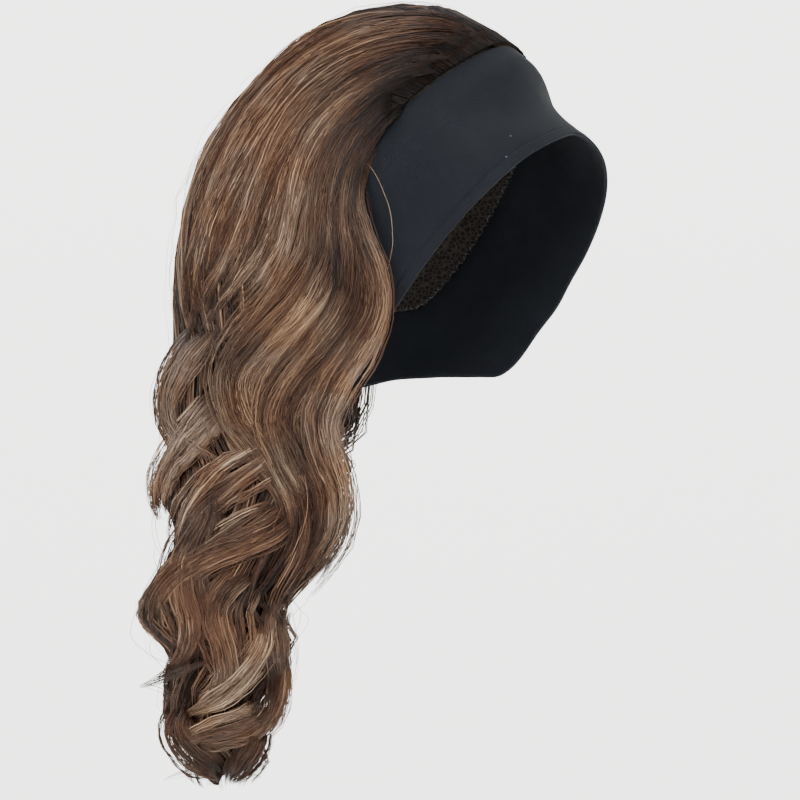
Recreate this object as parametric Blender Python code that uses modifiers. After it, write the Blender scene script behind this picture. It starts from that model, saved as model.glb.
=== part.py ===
"""A half wig: long wavy hair on a cap, worn behind a wide stretch headband.

Units are metres and +Z is up. The wearer faces -Y, so the wearer's right is -X. The origin is the
point inside the cap where the crown of the head bears on it, and everything hangs below and around it.
"""

import math

import bmesh
import bpy
import numpy as np

# The head that the wig is made for, from its widest level
HEAD_HALF_WIDTH = 0.076
HEAD_HALF_LENGTH = 0.096
HEAD_RISE = 0.115
BROW_SLOPE = 0.118

# The headband and the cap
BAND_WIDTH = 0.060
BAND_WALL = 0.0018
BAND_RIDGE = 0.0030
CAP_WALL = 0.0012
CAP_TILT_DEG = 35.7
SEAM_GAP = 0.0003

# The hair
HAIR_GAP = 0.0015
HAIR_DROP = 0.266
ROOT_THICKNESS = 0.0042
ROOT_SETBACK = 0.0022
BACK_THICKNESS = 0.046
FALL_HALF_WIDTH = 0.050
WAVE_HEIGHT = 0.0115
WEFT_WIDTH = 0.010
WEFT_THICKNESS = 0.0030

# How finely the shapes are cut into faces
BAND_STEPS_ROUND = 52
BAND_STEPS_ACROSS = 5
CAP_STEPS_OUT = 5
RINGS_A_HALF_TURN = 2.6
RING_SPACING = 0.024
UNDER_FINENESS = 0.7
SLIVER = 0.00004

HEAD_HALVES = np.array([HEAD_HALF_WIDTH, HEAD_HALF_LENGTH, HEAD_RISE])
HEAD_CENTRE = np.array([0.0, 0.0, -HEAD_RISE])

# The band's front edge, as angles round the cap's pole and out from it, in degrees,
# and the band's width there as a share of BAND_WIDTH
BAND_COLUMNS = ("round", "out", "width")
BAND_ROWS = (
    (0, 108.0, 1.00),
    (15, 110.1, 1.00),
    (30, 111.8, 1.01),
    (45, 113.5, 1.01),
    (60, 114.7, 1.02),
    (75, 115.4, 1.01),
    (90, 115.3, 1.00),
    (105, 114.2, 0.99),
    (120, 112.6, 1.00),
    (127, 110.0, 0.98),
    (132, 103.0, 0.89),
    (140, 92.5, 0.76),
    (152, 82.5, 0.65),
    (180, 75.0, 0.63),
)

# Level sections of the hair that lies on the head. Heights are shares of HEAD_RISE above the
# widest level, x columns of HEAD_HALF_WIDTH, y columns of HEAD_HALF_LENGTH, "thick" of
# BACK_THICKNESS, and the angles say how far the section reaches round to each side.
HEAD_COLUMNS = ("mid_z", "side_z", "y", "x", "thick", "side_thick", "right_deg", "left_deg")
HEAD_ROWS = (
    (1.03, 0.32, 0.06, 0.98, 0.20, 0.13, 90, 86),
    (0.86, 0.07, 0.56, 1.05, 0.48, 0.20, 96, 88),
    (0.45, -0.14, 0.91, 1.07, 0.80, 0.26, 98, 82),
    (0.01, -0.36, 1.02, 1.05, 1.04, 0.28, 97, 60),
)

# Level sections of the hair below the head. "down" is a share of HAIR_DROP, the centre's columns
# are shares of HEAD_HALF_WIDTH and HEAD_HALF_LENGTH, and the inner and outer half sizes of
# FALL_HALF_WIDTH. The hair from both sides comes together over the wearer's right shoulder.
FALL_COLUMNS = (
    "down", "side_down", "centre_x", "centre_y",
    "inner_x", "inner_y", "outer_x", "outer_y", "right_deg", "left_deg",
)
FALL_ROWS = (
    (0.180, 0.255, -0.09, 0.00, 1.49, 1.88, 1.86, 2.86, 93, 38),
    (0.360, 0.385, -0.25, 0.03, 1.10, 1.62, 1.48, 2.98, 91, 24),
    (0.457, 0.457, -0.53, 0.47, 0.44, 0.90, 1.10, 1.98, 130, 44),
    (0.541, 0.541, -0.61, 0.66, 0.20, 0.28, 0.94, 1.20, 154, 92),
    (0.654, 0.654, -0.79, 0.88, 0.10, 0.10, 0.77, 0.77, 195, 130),
    (0.739, 0.739, -0.82, 0.94, 0.09, 0.09, 0.67, 0.67, 208, 140),
    (0.823, 0.823, -0.78, 0.94, 0.08, 0.08, 0.56, 0.56, 210, 142),
    (0.908, 0.908, -0.80, 0.97, 0.07, 0.07, 0.50, 0.52, 210, 142),
    (0.964, 0.964, -0.78, 0.96, 0.05, 0.05, 0.40, 0.40, 210, 142),
    (1.000, 1.000, -0.75, 0.93, 0.03, 0.03, 0.24, 0.24, 210, 142),
)

# The waves: where each crest stands towards the face (an even turn) or away from it (an odd one)
WAVE_COLUMNS = ("down", "half_turns", "height")
WAVE_ROWS = (
    (-0.45, -2.0, 0.0),
    (-0.13, -1.0, 0.30),
    (0.11, 0.0, 0.85),
    (0.306, 1.0, 1.00),
    (0.440, 2.0, 0.90),
    (0.665, 3.0, 0.75),
    (0.750, 4.0, 0.70),
    (0.850, 5.0, 0.50),
    (0.930, 6.0, 0.55),
    (1.000, 6.8, 0.40),
)

# Locks of the outer hair, from the wearer's right to the left: "at" and "half" place the lock
# across the hair, "ends" is the share of the fall at which it ends, and "puff" its thickness.
LOCK_COLUMNS = ("at", "half", "ends", "puff")
RIGHT_LOCKS = (
    (-0.919, 0.0795, 0.940, 0.97),
    (-0.757, 0.0795, 0.900, 1.03),
    (-0.595, 0.0795, 0.985, 0.98),
    (-0.432, 0.0795, 0.870, 1.04),
)
CROWN_LOCKS = (
    (-0.248, 0.0800, 0.905, 1.02),
    (-0.083, 0.0800, 0.990, 0.98),
    (0.083, 0.0800, 0.880, 1.03),
    (0.248, 0.0800, 0.960, 0.98),
)
LEFT_LOCKS = (
    (0.432, 0.0795, 0.890, 1.03),
    (0.595, 0.0795, 0.975, 0.97),
    (0.757, 0.0795, 0.900, 1.02),
    (0.919, 0.0795, 0.950, 0.97),
)
UNDER_LOCKS = (
    (-0.77, 0.190, 1.000, 1.00),
    (-0.36, 0.190, 0.960, 1.00),
    (0.05, 0.190, 0.990, 1.00),
    (0.45, 0.185, 0.940, 1.00),
)
# Shorter locks whose ends curl out of the rest: where they leave it, where they end, how far
# out their ends stand and how far they run to one side on the way
CURL_COLUMNS = ("at", "half", "leaves", "ends", "out", "aside")
RIGHT_CURLS = (
    (-0.43, 0.050, 0.30, 0.485, 0.42, 0.10),
    (-0.60, 0.045, 0.50, 0.680, 0.40, 0.16),
)
CROWN_CURLS = (
    (-0.12, 0.050, 0.34, 0.520, 0.40, -0.10),
    (-0.20, 0.045, 0.62, 0.800, 0.40, -0.14),
)
# Shares of the hair's depth: the under hair fills up to one, the outer hair starts at the other
UNDER_TOP = 0.34
OUTER_FOOT = 0.40

HAIR_BROWN = (0.105, 0.052, 0.028, 1.0)
UNDER_BROWN = (0.055, 0.027, 0.015, 1.0)
BAND_BLACK = (0.014, 0.016, 0.021, 1.0)
CAP_BLACK = (0.020, 0.015, 0.013, 1.0)


def clear_scene():
    for obj in list(bpy.data.objects):
        bpy.data.objects.remove(obj)


def column(rows, names, name):
    return np.array([row[names.index(name)] for row in rows], float)


def smooth_curve(knots, values, at):
    """A curve through the values that doesn't overshoot them (cubic, with Fritsch-Carlson slopes)."""
    knots, values = np.asarray(knots, float), np.asarray(values, float)
    step = np.diff(knots)
    rise = np.diff(values) / step
    slope = np.zeros_like(values)
    same_way = rise[:-1] * rise[1:] > 0
    before, after = 2 * step[1:] + step[:-1], step[1:] + 2 * step[:-1]
    with np.errstate(divide="ignore", invalid="ignore"):
        mean = (before + after) / (before / rise[:-1] + after / rise[1:])
    slope[1:-1] = np.where(same_way, mean, 0.0)
    slope[0], slope[-1] = rise[0], rise[-1]
    at = np.clip(np.asarray(at, float), knots[0], knots[-1])
    i = np.clip(np.searchsorted(knots, at, side="right") - 1, 0, len(step) - 1)
    h = step[i]
    u = (at - knots[i]) / h
    return (
        values[i] * (2 * u**3 - 3 * u**2 + 1)
        + values[i + 1] * (3 * u**2 - 2 * u**3)
        + h * slope[i] * (u**3 - 2 * u**2 + u)
        + h * slope[i + 1] * (u**3 - u**2)
    )


# The head and what lies on it


def head_radius(direction, out):
    """How far the head's surface, raised by out, is from the head's centre along a unit direction."""
    halves = HEAD_HALVES + np.asarray(out, float)[..., None]
    egg = 1 / np.linalg.norm(direction / halves, axis=-1)
    # The forehead slopes back to the crown, flatter than an egg
    lift = np.arcsin(np.clip(direction[..., 2], -1, 1))
    turn = np.arctan2(direction[..., 0], -direction[..., 1])
    slope = np.exp(-(((lift - math.radians(53)) / math.radians(17)) ** 2))
    slope = slope * np.exp(-((turn / math.radians(62)) ** 4)) * np.cos(lift)
    return egg * (1 - BROW_SLOPE * slope / math.cos(math.radians(53)))


def head_point(round_deg, out_deg, raised=0.0):
    """A point on the head, in angles round the cap's pole (0 is the top front) and out from it."""
    tilt = math.radians(CAP_TILT_DEG)
    pole = np.array([0, math.cos(tilt), math.sin(tilt)])
    top = np.array([0, -math.sin(tilt), math.cos(tilt)])
    left = np.array([1.0, 0, 0])
    turn, out = np.radians(round_deg)[..., None], np.radians(out_deg)[..., None]
    direction = np.cos(out) * pole + np.sin(out) * (np.cos(turn) * top + np.sin(turn) * left)
    return HEAD_CENTRE + direction * head_radius(direction, raised)[..., None]


def raised_clear(points, raised):
    """Points that lie under the head's surface, raised by that much, are brought out to it."""
    arms = points - HEAD_CENTRE
    reach = np.linalg.norm(arms, axis=-1)
    direction = arms / reach[..., None]
    needed = head_radius(direction, raised)
    return HEAD_CENTRE + direction * np.maximum(reach, needed)[..., None]


def band_front_edge(round_deg):
    knots = column(BAND_ROWS, BAND_COLUMNS, "round")
    return smooth_curve(knots, column(BAND_ROWS, BAND_COLUMNS, "out"), folded(round_deg))


def band_width(round_deg):
    knots = column(BAND_ROWS, BAND_COLUMNS, "round")
    shares = smooth_curve(knots, column(BAND_ROWS, BAND_COLUMNS, "width"), folded(round_deg))
    return BAND_WIDTH * shares


def folded(round_deg):
    """An angle round the cap as one from 0 at the top front to 180 at the nape, on either side."""
    return np.abs((np.asarray(round_deg, float) + 180) % 360 - 180)


def edge_behind_front(round_deg, width):
    """The angle out from the pole at which the head's surface is width behind the front edge."""
    front = band_front_edge(round_deg)
    steps = np.linspace(0, 62, 125)
    outs = front[:, None] - steps[None, :]
    points = head_point(np.repeat(np.asarray(round_deg)[:, None], len(steps), 1), outs)
    lengths = np.cumsum(np.linalg.norm(np.diff(points, axis=1), axis=-1), axis=1)
    lengths = np.concatenate([np.zeros((len(lengths), 1)), lengths], axis=1)
    return np.array([np.interp(w, row, out) for w, row, out in zip(width, lengths, outs)])


def band_ridge(round_deg, share):
    """The band stands a little proud near its rear edge, where it rides over the hair's roots."""
    front = np.cos(np.radians(np.asarray(round_deg)) / 2) ** 8
    return BAND_RIDGE * front * np.exp(-(((share - 0.22) / 0.13) ** 2))


# Making mesh objects


def material(name, colour, roughness):
    made = bpy.data.materials.new(name)
    made.use_nodes = True
    shader = made.node_tree.nodes["Principled BSDF"]
    shader.inputs["Base Color"].default_value = colour
    shader.inputs["Roughness"].default_value = roughness
    shader.inputs["Metallic"].default_value = 0.0
    made.diffuse_color = colour
    return made


def mesh_object(name, points, faces, group, look):
    mesh = bpy.data.meshes.new(name)
    mesh.from_pydata([tuple(p) for p in points], [], faces)
    mesh.update()
    shell = bmesh.new()
    shell.from_mesh(mesh)
    bmesh.ops.recalc_face_normals(shell, faces=shell.faces)
    shell.to_mesh(mesh)
    shell.free()
    mesh.materials.append(look)
    mesh.shade_smooth()
    obj = bpy.data.objects.new(name, mesh)
    group.objects.link(obj)
    return obj


def add_wall(obj, thickness, outward):
    """Gives an open surface its wall. outward is 1 where the wall grows along the faces' normals."""
    wall = obj.modifiers.new("wall", "SOLIDIFY")
    wall.thickness = thickness
    wall.offset = outward
    wall.use_even_offset = True


def fused(name, pieces, group, look):
    """The union of several closed pieces as one object."""
    first, rest = pieces[0], pieces[1:]
    cutters = bpy.data.collections.new(name + "_locks")
    bpy.context.scene.collection.children.link(cutters)
    for piece in rest:
        group.objects.unlink(piece)
        cutters.objects.link(piece)
    union = first.modifiers.new("fuse", "BOOLEAN")
    union.operation = "UNION"
    union.operand_type = "COLLECTION"
    union.collection = cutters
    union.solver = "EXACT"
    union.use_self = True
    bpy.context.view_layer.update()
    graph = bpy.context.evaluated_depsgraph_get()
    mesh = bpy.data.meshes.new_from_object(first.evaluated_get(graph))
    mesh.name = name
    tidy_union(mesh)
    obj = bpy.data.objects.new(name, mesh)
    group.objects.link(obj)
    mesh.materials.clear()
    mesh.materials.append(look)
    mesh.shade_smooth()
    mesh.set_sharp_from_angle(angle=math.radians(60))
    for piece in pieces:
        bpy.data.objects.remove(piece)
    bpy.data.collections.remove(cutters)
    return obj


def tidy_union(mesh):
    """Keeps the largest shell of faces, so that a pocket between locks is solid, without slivers."""
    shell = bmesh.new()
    shell.from_mesh(mesh)
    waiting, shells = set(shell.faces), []
    while waiting:
        found, front = set(), [waiting.pop()]
        while front:
            face = front.pop()
            found.add(face)
            beside = {other for edge in face.edges for other in edge.link_faces} & waiting
            waiting -= beside
            front.extend(beside)
        shells.append(found)
    keep = max(shells, key=len)
    spare = [face for found in shells if found is not keep for face in found]
    bmesh.ops.delete(shell, geom=spare, context="FACES")
    bmesh.ops.dissolve_degenerate(shell, edges=shell.edges, dist=SLIVER)
    bmesh.ops.triangulate(shell, faces=shell.faces)
    shell.to_mesh(mesh)
    shell.free()


# The headband


def band_turns():
    """Angles round the band, closer together where its lower edge turns the corner behind the ear."""
    shares = np.linspace(0, 1, BAND_STEPS_ROUND // 2 + 1)
    half = np.interp(shares, [0, 0.45, 0.80, 1], [0, 112, 148, 180])
    return np.concatenate([half, 360 - half[-2:0:-1]])


def make_headband(group, look):
    turns = band_turns()
    front = band_front_edge(turns)
    rear = edge_behind_front(turns, band_width(turns))
    points, faces = [], []
    for i in range(BAND_STEPS_ACROSS + 1):
        share = i / BAND_STEPS_ACROSS
        outs = rear + (front - rear) * share
        points.extend(head_point(turns, outs, 0.0) + outward_lift(turns, outs, share))
    count = len(turns)
    for i in range(BAND_STEPS_ACROSS):
        for j in range(count):
            k = (j + 1) % count
            faces.append((i * count + j, i * count + k, (i + 1) * count + k, (i + 1) * count + j))
    band = mesh_object("headband", points, faces, group, look)
    add_wall(band, BAND_WALL, facing(band))
    return band


def outward_lift(turns, outs, share):
    base = head_point(turns, outs, 0.0)
    arms = base - HEAD_CENTRE
    return arms / np.linalg.norm(arms, axis=-1)[:, None] * band_ridge(turns, share)[:, None]


def facing(obj):
    """1 if an open surface's normals point away from the head, and -1 if they point to it."""
    face = obj.data.polygons[0]
    away = np.array(face.center) - HEAD_CENTRE
    return 1.0 if float(np.dot(away, np.array(face.normal))) > 0 else -1.0


# The cap


def cap_rim(turns):
    """The cap's rim, a seam's gap behind the band's rear edge."""
    return edge_behind_front(turns, band_width(turns) + SEAM_GAP)


def make_cap(group, look):
    turns = band_turns()
    rim = cap_rim(turns)
    points = [head_point(np.array([0.0]), np.array([0.0]))[0]]
    faces = []
    count = len(turns)
    for i in range(1, CAP_STEPS_OUT + 1):
        points.extend(head_point(turns, rim * (i / CAP_STEPS_OUT)))
    for j in range(count):
        faces.append((0, 1 + j, 1 + (j + 1) % count))
    for i in range(CAP_STEPS_OUT - 1):
        for j in range(count):
            k = (j + 1) % count
            a, b = 1 + i * count, 1 + (i + 1) * count
            faces.append((a + j, b + j, b + k, a + k))
    cap = mesh_object("wig_cap", points, faces, group, look)
    add_wall(cap, CAP_WALL, facing(cap))
    return cap


# The hair


def side_angle(across, right_deg, left_deg):
    """The angle round a section, 0 at the back, for a place across it from -1 (right) to 1 (left)."""
    return np.radians(across * np.where(across < 0, right_deg, left_deg))


def root_section(across, depth):
    """Where the hair leaves the cap, along the band's rear edge."""
    turns = across * 60.0
    outs = edge_behind_front(turns, band_width(turns) + ROOT_SETBACK)
    return head_point(turns, outs, CAP_WALL + HAIR_GAP + depth * ROOT_THICKNESS)


def head_section(row, across, depth):
    """Where a level section of the hair on the head lies, from the cap (depth 0) out to depth 1."""
    part = dict(zip(HEAD_COLUMNS, row))
    angle = side_angle(across, part["right_deg"], part["left_deg"])
    towards_mid = np.cos(across * math.pi / 2)
    height = part["side_z"] + (part["mid_z"] - part["side_z"]) * towards_mid
    flat = np.stack(
        [
            part["x"] * HEAD_HALF_WIDTH * np.sin(angle),
            part["y"] * HEAD_HALF_LENGTH * np.cos(angle),
            height * HEAD_RISE,
        ],
        axis=-1,
    )
    direction = flat / np.linalg.norm(flat, axis=-1)[..., None]
    inner = head_radius(direction, BAND_WALL + HAIR_GAP)
    thick = part["side_thick"] + (part["thick"] - part["side_thick"]) * towards_mid
    return HEAD_CENTRE + direction * (inner + depth * thick * BACK_THICKNESS)[..., None]


def fall_section(row, across, depth):
    """Where a level section of the hanging hair lies."""
    part = dict(zip(FALL_COLUMNS, row))
    angle = side_angle(across, part["right_deg"], part["left_deg"])
    towards_mid = np.cos(across * math.pi / 2)
    half_x = part["inner_x"] + depth * (part["outer_x"] - part["inner_x"])
    half_y = part["inner_y"] + depth * (part["outer_y"] - part["inner_y"])
    reach = FALL_HALF_WIDTH / np.hypot(np.sin(angle) / half_x, np.cos(angle) / half_y)
    down = part["side_down"] + (part["down"] - part["side_down"]) * towards_mid
    flat = np.stack(
        [
            part["centre_x"] * HEAD_HALF_WIDTH + reach * np.sin(angle),
            part["centre_y"] * HEAD_HALF_LENGTH + reach * np.cos(angle),
            -down * HAIR_DROP,
        ],
        axis=-1,
    )
    return HEAD_CENTRE + flat


def section_places(across, depth):
    """The same place in every section, from the root to the tips: an array of sections by places."""
    places = [root_section(across, depth)]
    places += [head_section(row, across, depth) for row in HEAD_ROWS]
    places += [fall_section(row, across, depth) for row in FALL_ROWS]
    return np.array(places)


def along_sections(places, stage):
    """Points on smooth curves through the sections, at stages counted in sections from the root."""
    knots = np.arange(len(places), dtype=float)
    return np.stack([catmull(knots, places[:, :, axis], stage) for axis in range(3)], axis=-1)


def catmull(knots, values, at):
    """A Catmull-Rom curve for each column of values, read at one place each."""
    last = len(knots) - 1
    i = np.clip(at.astype(int), 0, last - 1)
    u = at - i
    pick = np.arange(values.shape[1])
    before, start = values[np.maximum(i - 1, 0), pick], values[i, pick]
    end, after = values[i + 1, pick], values[np.minimum(i + 2, last), pick]
    return start + 0.5 * u * (
        end - before + u * (2 * before - 5 * start + 4 * end - after + u * (3 * (start - end) + after - before))
    )


def hair_point(across, depth, stage):
    """A point in the hair: across it, out through its depth and along it, with its wave."""
    across, depth, stage = (np.asarray(v, float) for v in (across, depth, stage))
    still = along_sections(section_places(across, depth), stage)
    beside = along_sections(section_places(across + 0.01, depth), stage)
    sideways = beside - still
    sideways /= np.linalg.norm(sideways, axis=-1)[:, None]
    down = (HEAD_CENTRE[2] - still[:, 2]) / HAIR_DROP
    turns, height = wave_at(down, across)
    swing, lift = np.cos(math.pi * turns), np.sin(math.pi * turns)
    outward = np.cross(sideways, np.array([0, 0, 1.0]))
    outward /= np.linalg.norm(outward, axis=-1)[:, None] + 1e-9
    outward *= np.sign(np.sum(outward * (still - HEAD_CENTRE), axis=-1))[:, None]
    # On the head the wave runs round it; in the fall the whole bundle sways towards the face
    free = np.clip((down - 0.36) / 0.14, 0, 1)[:, None]
    face_way = np.array([0.545, -0.839, 0.0])
    way = (1 - free) * -sideways + free * face_way
    moved = still + way * (height * swing)[:, None] + (1 - free) * 0.25 * outward * (height * lift)[:, None]
    return raised_clear(moved, BAND_WALL + HAIR_GAP)


def wave_at(down, across):
    """How many half turns the wave has made at a height, and how high it stands there."""
    knots = column(WAVE_ROWS, WAVE_COLUMNS, "down")
    late = 0.03 * np.sin(2.1 * across + 0.4) * np.clip(down + 0.2, 0, 1)
    turns = smooth_curve(knots, column(WAVE_ROWS, WAVE_COLUMNS, "half_turns"), down - late)
    return turns, WAVE_HEIGHT * smooth_curve(knots, column(WAVE_ROWS, WAVE_COLUMNS, "height"), down)


def stage_of_down(down):
    """The stage at which the middle of the hair has come down that share of HAIR_DROP."""
    first = 1 + len(HEAD_ROWS)
    rows = column(FALL_ROWS, FALL_COLUMNS, "down")
    return float(np.interp(down, rows, np.arange(first, first + len(rows))))


def ring_stages(at, first, last, fineness=1.0):
    """Stages for a lock's rings from first to last, closer together where the hair waves more."""
    fine = np.linspace(first, last, 200)
    places = section_places(np.full(200, at), np.full(200, 0.5))
    path = along_sections(places, fine)
    lengths = np.linalg.norm(np.diff(path, axis=0), axis=-1)
    turns, _ = wave_at((HEAD_CENTRE[2] - path[:, 2]) / HAIR_DROP, at)
    count = np.cumsum(np.abs(np.diff(turns)) * RINGS_A_HALF_TURN + lengths / RING_SPACING)
    count = np.concatenate([[0], count])
    steps = max(4, round(count[-1] * fineness))
    return np.interp(np.linspace(0, count[-1], steps + 1), count, fine)


# A lock's section seen from its tip: flat below, with shoulders and a crest. The wide locks of the
# under hair have two more corners below, so that they bend round the nape.
LOCK_SECTION = ((-1, 0.0), (1, 0.0), (0.93, 0.64), (0.42, 1.0), (-0.42, 1.0), (-0.93, 0.64))
WIDE_SECTION = ((-1, 0.0), (-0.35, 0.0), (0.35, 0.0), (1, 0.0), (0.93, 0.64), (0, 1.0), (-0.93, 0.64))


def loft(name, section, stages, middle, half, low, high, group, look):
    """A closed loft through rings at the stages, each with its middle, half width and depths."""
    section = np.array(section, float)
    sides = len(section)
    points, faces = [], []
    for i, stage in enumerate(stages):
        across = middle[i] + half[i] * section[:, 0]
        depth = low[i] + (high[i] - low[i]) * section[:, 1]
        points.extend(hair_point(across, depth, np.full(sides, stage)))
    for i in range(len(stages) - 1):
        for j in range(sides):
            k = (j + 1) % sides
            a, b = i * sides, (i + 1) * sides
            faces.append((a + j, a + k, b + k, b + j))
    faces.append(tuple(range(sides)))
    faces.append(tuple(range((len(stages) - 1) * sides, len(stages) * sides)))
    return mesh_object(name, points, faces, group, look)


def to_a_tip(count, from_share, left):
    """A size for each ring that draws in to a small end after that share of the lock."""
    share = np.linspace(0, 1, count)
    closing = np.clip((share - from_share) / (1 - from_share), 0, 1)
    return left + (1 - left) * (1 - closing**2.2)


def outer_lock(name, row, group, look):
    """A lock of the outer hair, from the band's rear edge to its tip."""
    at, half, ends, puff = row
    stages = ring_stages(at, 0.0, stage_of_down(ends))
    count = len(stages)
    size = to_a_tip(count, 0.80, 0.22)
    foot = OUTER_FOOT * np.clip((stages - 3.0) / 2.0, 0, 1)
    top = np.full(count, 0.95 * puff)
    middle = (foot + top) / 2
    thick = (top - foot) / 2 * size
    low, high = middle - thick, middle + thick
    return loft(name, LOCK_SECTION, stages, np.full(count, at), half * size, low, high, group, look)


def under_lock(name, row, group, look):
    """A lock of the under hair, from the nape to the longest tips."""
    at, half, ends, puff = row
    stages = ring_stages(at, 4.4, stage_of_down(ends), UNDER_FINENESS)
    count = len(stages)
    size = to_a_tip(count, 0.85, 0.25)
    top = UNDER_TOP * puff * np.clip((stages - 3.9) / 1.6, 0.15, 1)
    middle = top / 2
    thick = top / 2 * size
    # The locks are fused at their roots, where each is wide enough to run into the next
    wide = half * size * (1 + 0.12 * np.clip((4.9 - stages) / 0.4, 0, 1))
    low, high = middle - thick, middle + thick
    return loft(name, WIDE_SECTION, stages, np.full(count, at), wide, low, high, group, look)


def curl(name, row, group, look):
    """A shorter lock that leaves the outer hair and curls out of it to its tip."""
    at, half, leaves, ends, out, aside = row
    stages = ring_stages(at, stage_of_down(leaves), stage_of_down(ends))
    count = len(stages)
    share = np.linspace(0, 1, count)
    size = to_a_tip(count, 0.45, 0.20)
    middle = 0.80 + out * share**1.5
    low, high = middle - 0.12 * size, middle + 0.12 * size
    return loft(name, LOCK_SECTION, stages, at + aside * share**2, half * size, low, high, group, look)


def weft(name, first, last, group, look):
    """The sewn strip that a section's locks are fused to, along the band's rear edge."""
    turns = np.linspace(first * 60.0, last * 60.0, 12)
    near = edge_behind_front(turns, band_width(turns) + ROOT_SETBACK / 2)
    far = edge_behind_front(turns, band_width(turns) + ROOT_SETBACK / 2 + WEFT_WIDTH)
    raised = CAP_WALL + SEAM_GAP
    corners = ((near, raised), (far, raised), (far, raised + WEFT_THICKNESS), (near, raised + WEFT_THICKNESS))
    points = np.concatenate([head_point(turns, outs, up) for outs, up in corners])
    count = len(turns)
    faces = []
    for side in range(4):
        a, b = side * count, (side + 1) % 4 * count
        faces += [(a + i, a + i + 1, b + i + 1, b + i) for i in range(count - 1)]
    faces.append(tuple(side * count for side in range(4)))
    faces.append(tuple(side * count + count - 1 for side in range(4)))
    return mesh_object(name, points, faces, group, look)


def make_outer_hair(name, rows, curls, group, look):
    first, last = rows[0][0] - rows[0][1], rows[-1][0] + rows[-1][1]
    pieces = [weft(name + "_weft", first, last, group, look)]
    pieces += [outer_lock(f"{name}_lock_{i}", row, group, look) for i, row in enumerate(rows)]
    pieces += [curl(f"{name}_curl_{i}", row, group, look) for i, row in enumerate(curls)]
    return fused(name, pieces, group, look)


def make_under_hair(group, look):
    pieces = [under_lock(f"under_lock_{i}", row, group, look) for i, row in enumerate(UNDER_LOCKS)]
    return fused("under_hair", pieces, group, look)


def main():
    clear_scene()
    wig = bpy.data.collections.new("half_wig")
    bpy.context.scene.collection.children.link(wig)
    band_look = material("band_fabric", BAND_BLACK, 0.8)
    cap_look = material("cap_net", CAP_BLACK, 0.8)
    hair_look = material("hair", HAIR_BROWN, 0.4)
    under_look = material("hair_under", UNDER_BROWN, 0.45)
    make_headband(wig, band_look)
    make_cap(wig, cap_look)
    make_outer_hair("right_hair", RIGHT_LOCKS, RIGHT_CURLS, wig, hair_look)
    make_outer_hair("crown_hair", CROWN_LOCKS, CROWN_CURLS, wig, hair_look)
    make_outer_hair("left_hair", LEFT_LOCKS, (), wig, hair_look)
    make_under_hair(wig, under_look)


main()
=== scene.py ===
# %% [markdown]
# # A half wig, dressed strand by strand
# A half wig is long hair sewn to a small cap, worn behind a wide stretch headband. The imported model
# gives its solids, and they stay the measure of every piece made here. The work goes from what is
# large to what is fine: the studio, the band, the cap, the body of the hair, then the strands.

# %% The frame
import math

import bmesh
import bpy
import numpy as np
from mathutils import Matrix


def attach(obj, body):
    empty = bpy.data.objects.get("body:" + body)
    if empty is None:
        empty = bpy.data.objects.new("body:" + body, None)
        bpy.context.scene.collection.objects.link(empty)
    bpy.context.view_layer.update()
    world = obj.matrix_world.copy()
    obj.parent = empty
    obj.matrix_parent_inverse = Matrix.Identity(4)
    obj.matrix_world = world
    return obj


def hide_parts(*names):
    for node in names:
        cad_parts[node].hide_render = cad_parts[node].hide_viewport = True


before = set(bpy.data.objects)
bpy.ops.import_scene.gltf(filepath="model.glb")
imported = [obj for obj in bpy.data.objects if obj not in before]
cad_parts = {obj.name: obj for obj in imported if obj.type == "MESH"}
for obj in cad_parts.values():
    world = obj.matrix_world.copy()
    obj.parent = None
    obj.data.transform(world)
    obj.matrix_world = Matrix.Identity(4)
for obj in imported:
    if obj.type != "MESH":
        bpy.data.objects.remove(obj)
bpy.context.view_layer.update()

print("nodes:", sorted(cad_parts))

# %% [markdown]
# ## Camera and studio
# The wig hangs at eye level, seen from the wearer's right and a little from the front, through a
# long lens. Real product shots use a paper sweep so that no horizon shows. Here the floor is a disc
# that curves up into a wall all round, which does the same from every side.

# %% Camera
camera = bpy.data.objects.new("camera", bpy.data.cameras.new("camera"))
camera.data.sensor_width = 36
camera.data.lens = 135
camera.location = (-1.269, -0.801, -0.1865)
camera.rotation_euler = (math.pi / 2, 0, -math.radians(57))
bpy.context.scene.collection.objects.link(camera)
bpy.context.scene.camera = camera


# %% Helpers for meshes and materials
def mesh_piece(name, points, faces, look, smooth=True):
    mesh = bpy.data.meshes.new(name)
    mesh.from_pydata([tuple(map(float, p)) for p in points], [], [tuple(map(int, f)) for f in faces])
    mesh.update()
    mesh.materials.append(look)
    if smooth:
        mesh.shade_smooth()
    obj = bpy.data.objects.new(name, mesh)
    bpy.context.scene.collection.objects.link(obj)
    return obj


def new_material(name, colour=(0.5, 0.5, 0.5), roughness=0.6):
    made = bpy.data.materials.new(name)
    made.use_nodes = True
    shader = made.node_tree.nodes["Principled BSDF"]
    shader.inputs["Base Color"].default_value = (*colour, 1)
    shader.inputs["Roughness"].default_value = roughness
    return made, made.node_tree, shader


def node(tree, kind, **values):
    made = tree.nodes.new(kind)
    for name, value in values.items():
        if hasattr(made, name):
            setattr(made, name, value)
        else:
            made.inputs[name].default_value = value
    return made


def ramp(tree, stops, source):
    made = tree.nodes.new("ShaderNodeValToRGB")
    elements = made.color_ramp.elements
    while len(elements) < len(stops):
        elements.new(0.5)
    for element, (place, colour) in zip(elements, stops):
        element.position = place
        element.color = (*colour, 1)
    tree.links.new(source, made.inputs["Fac"])
    return made.outputs["Color"]


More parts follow.
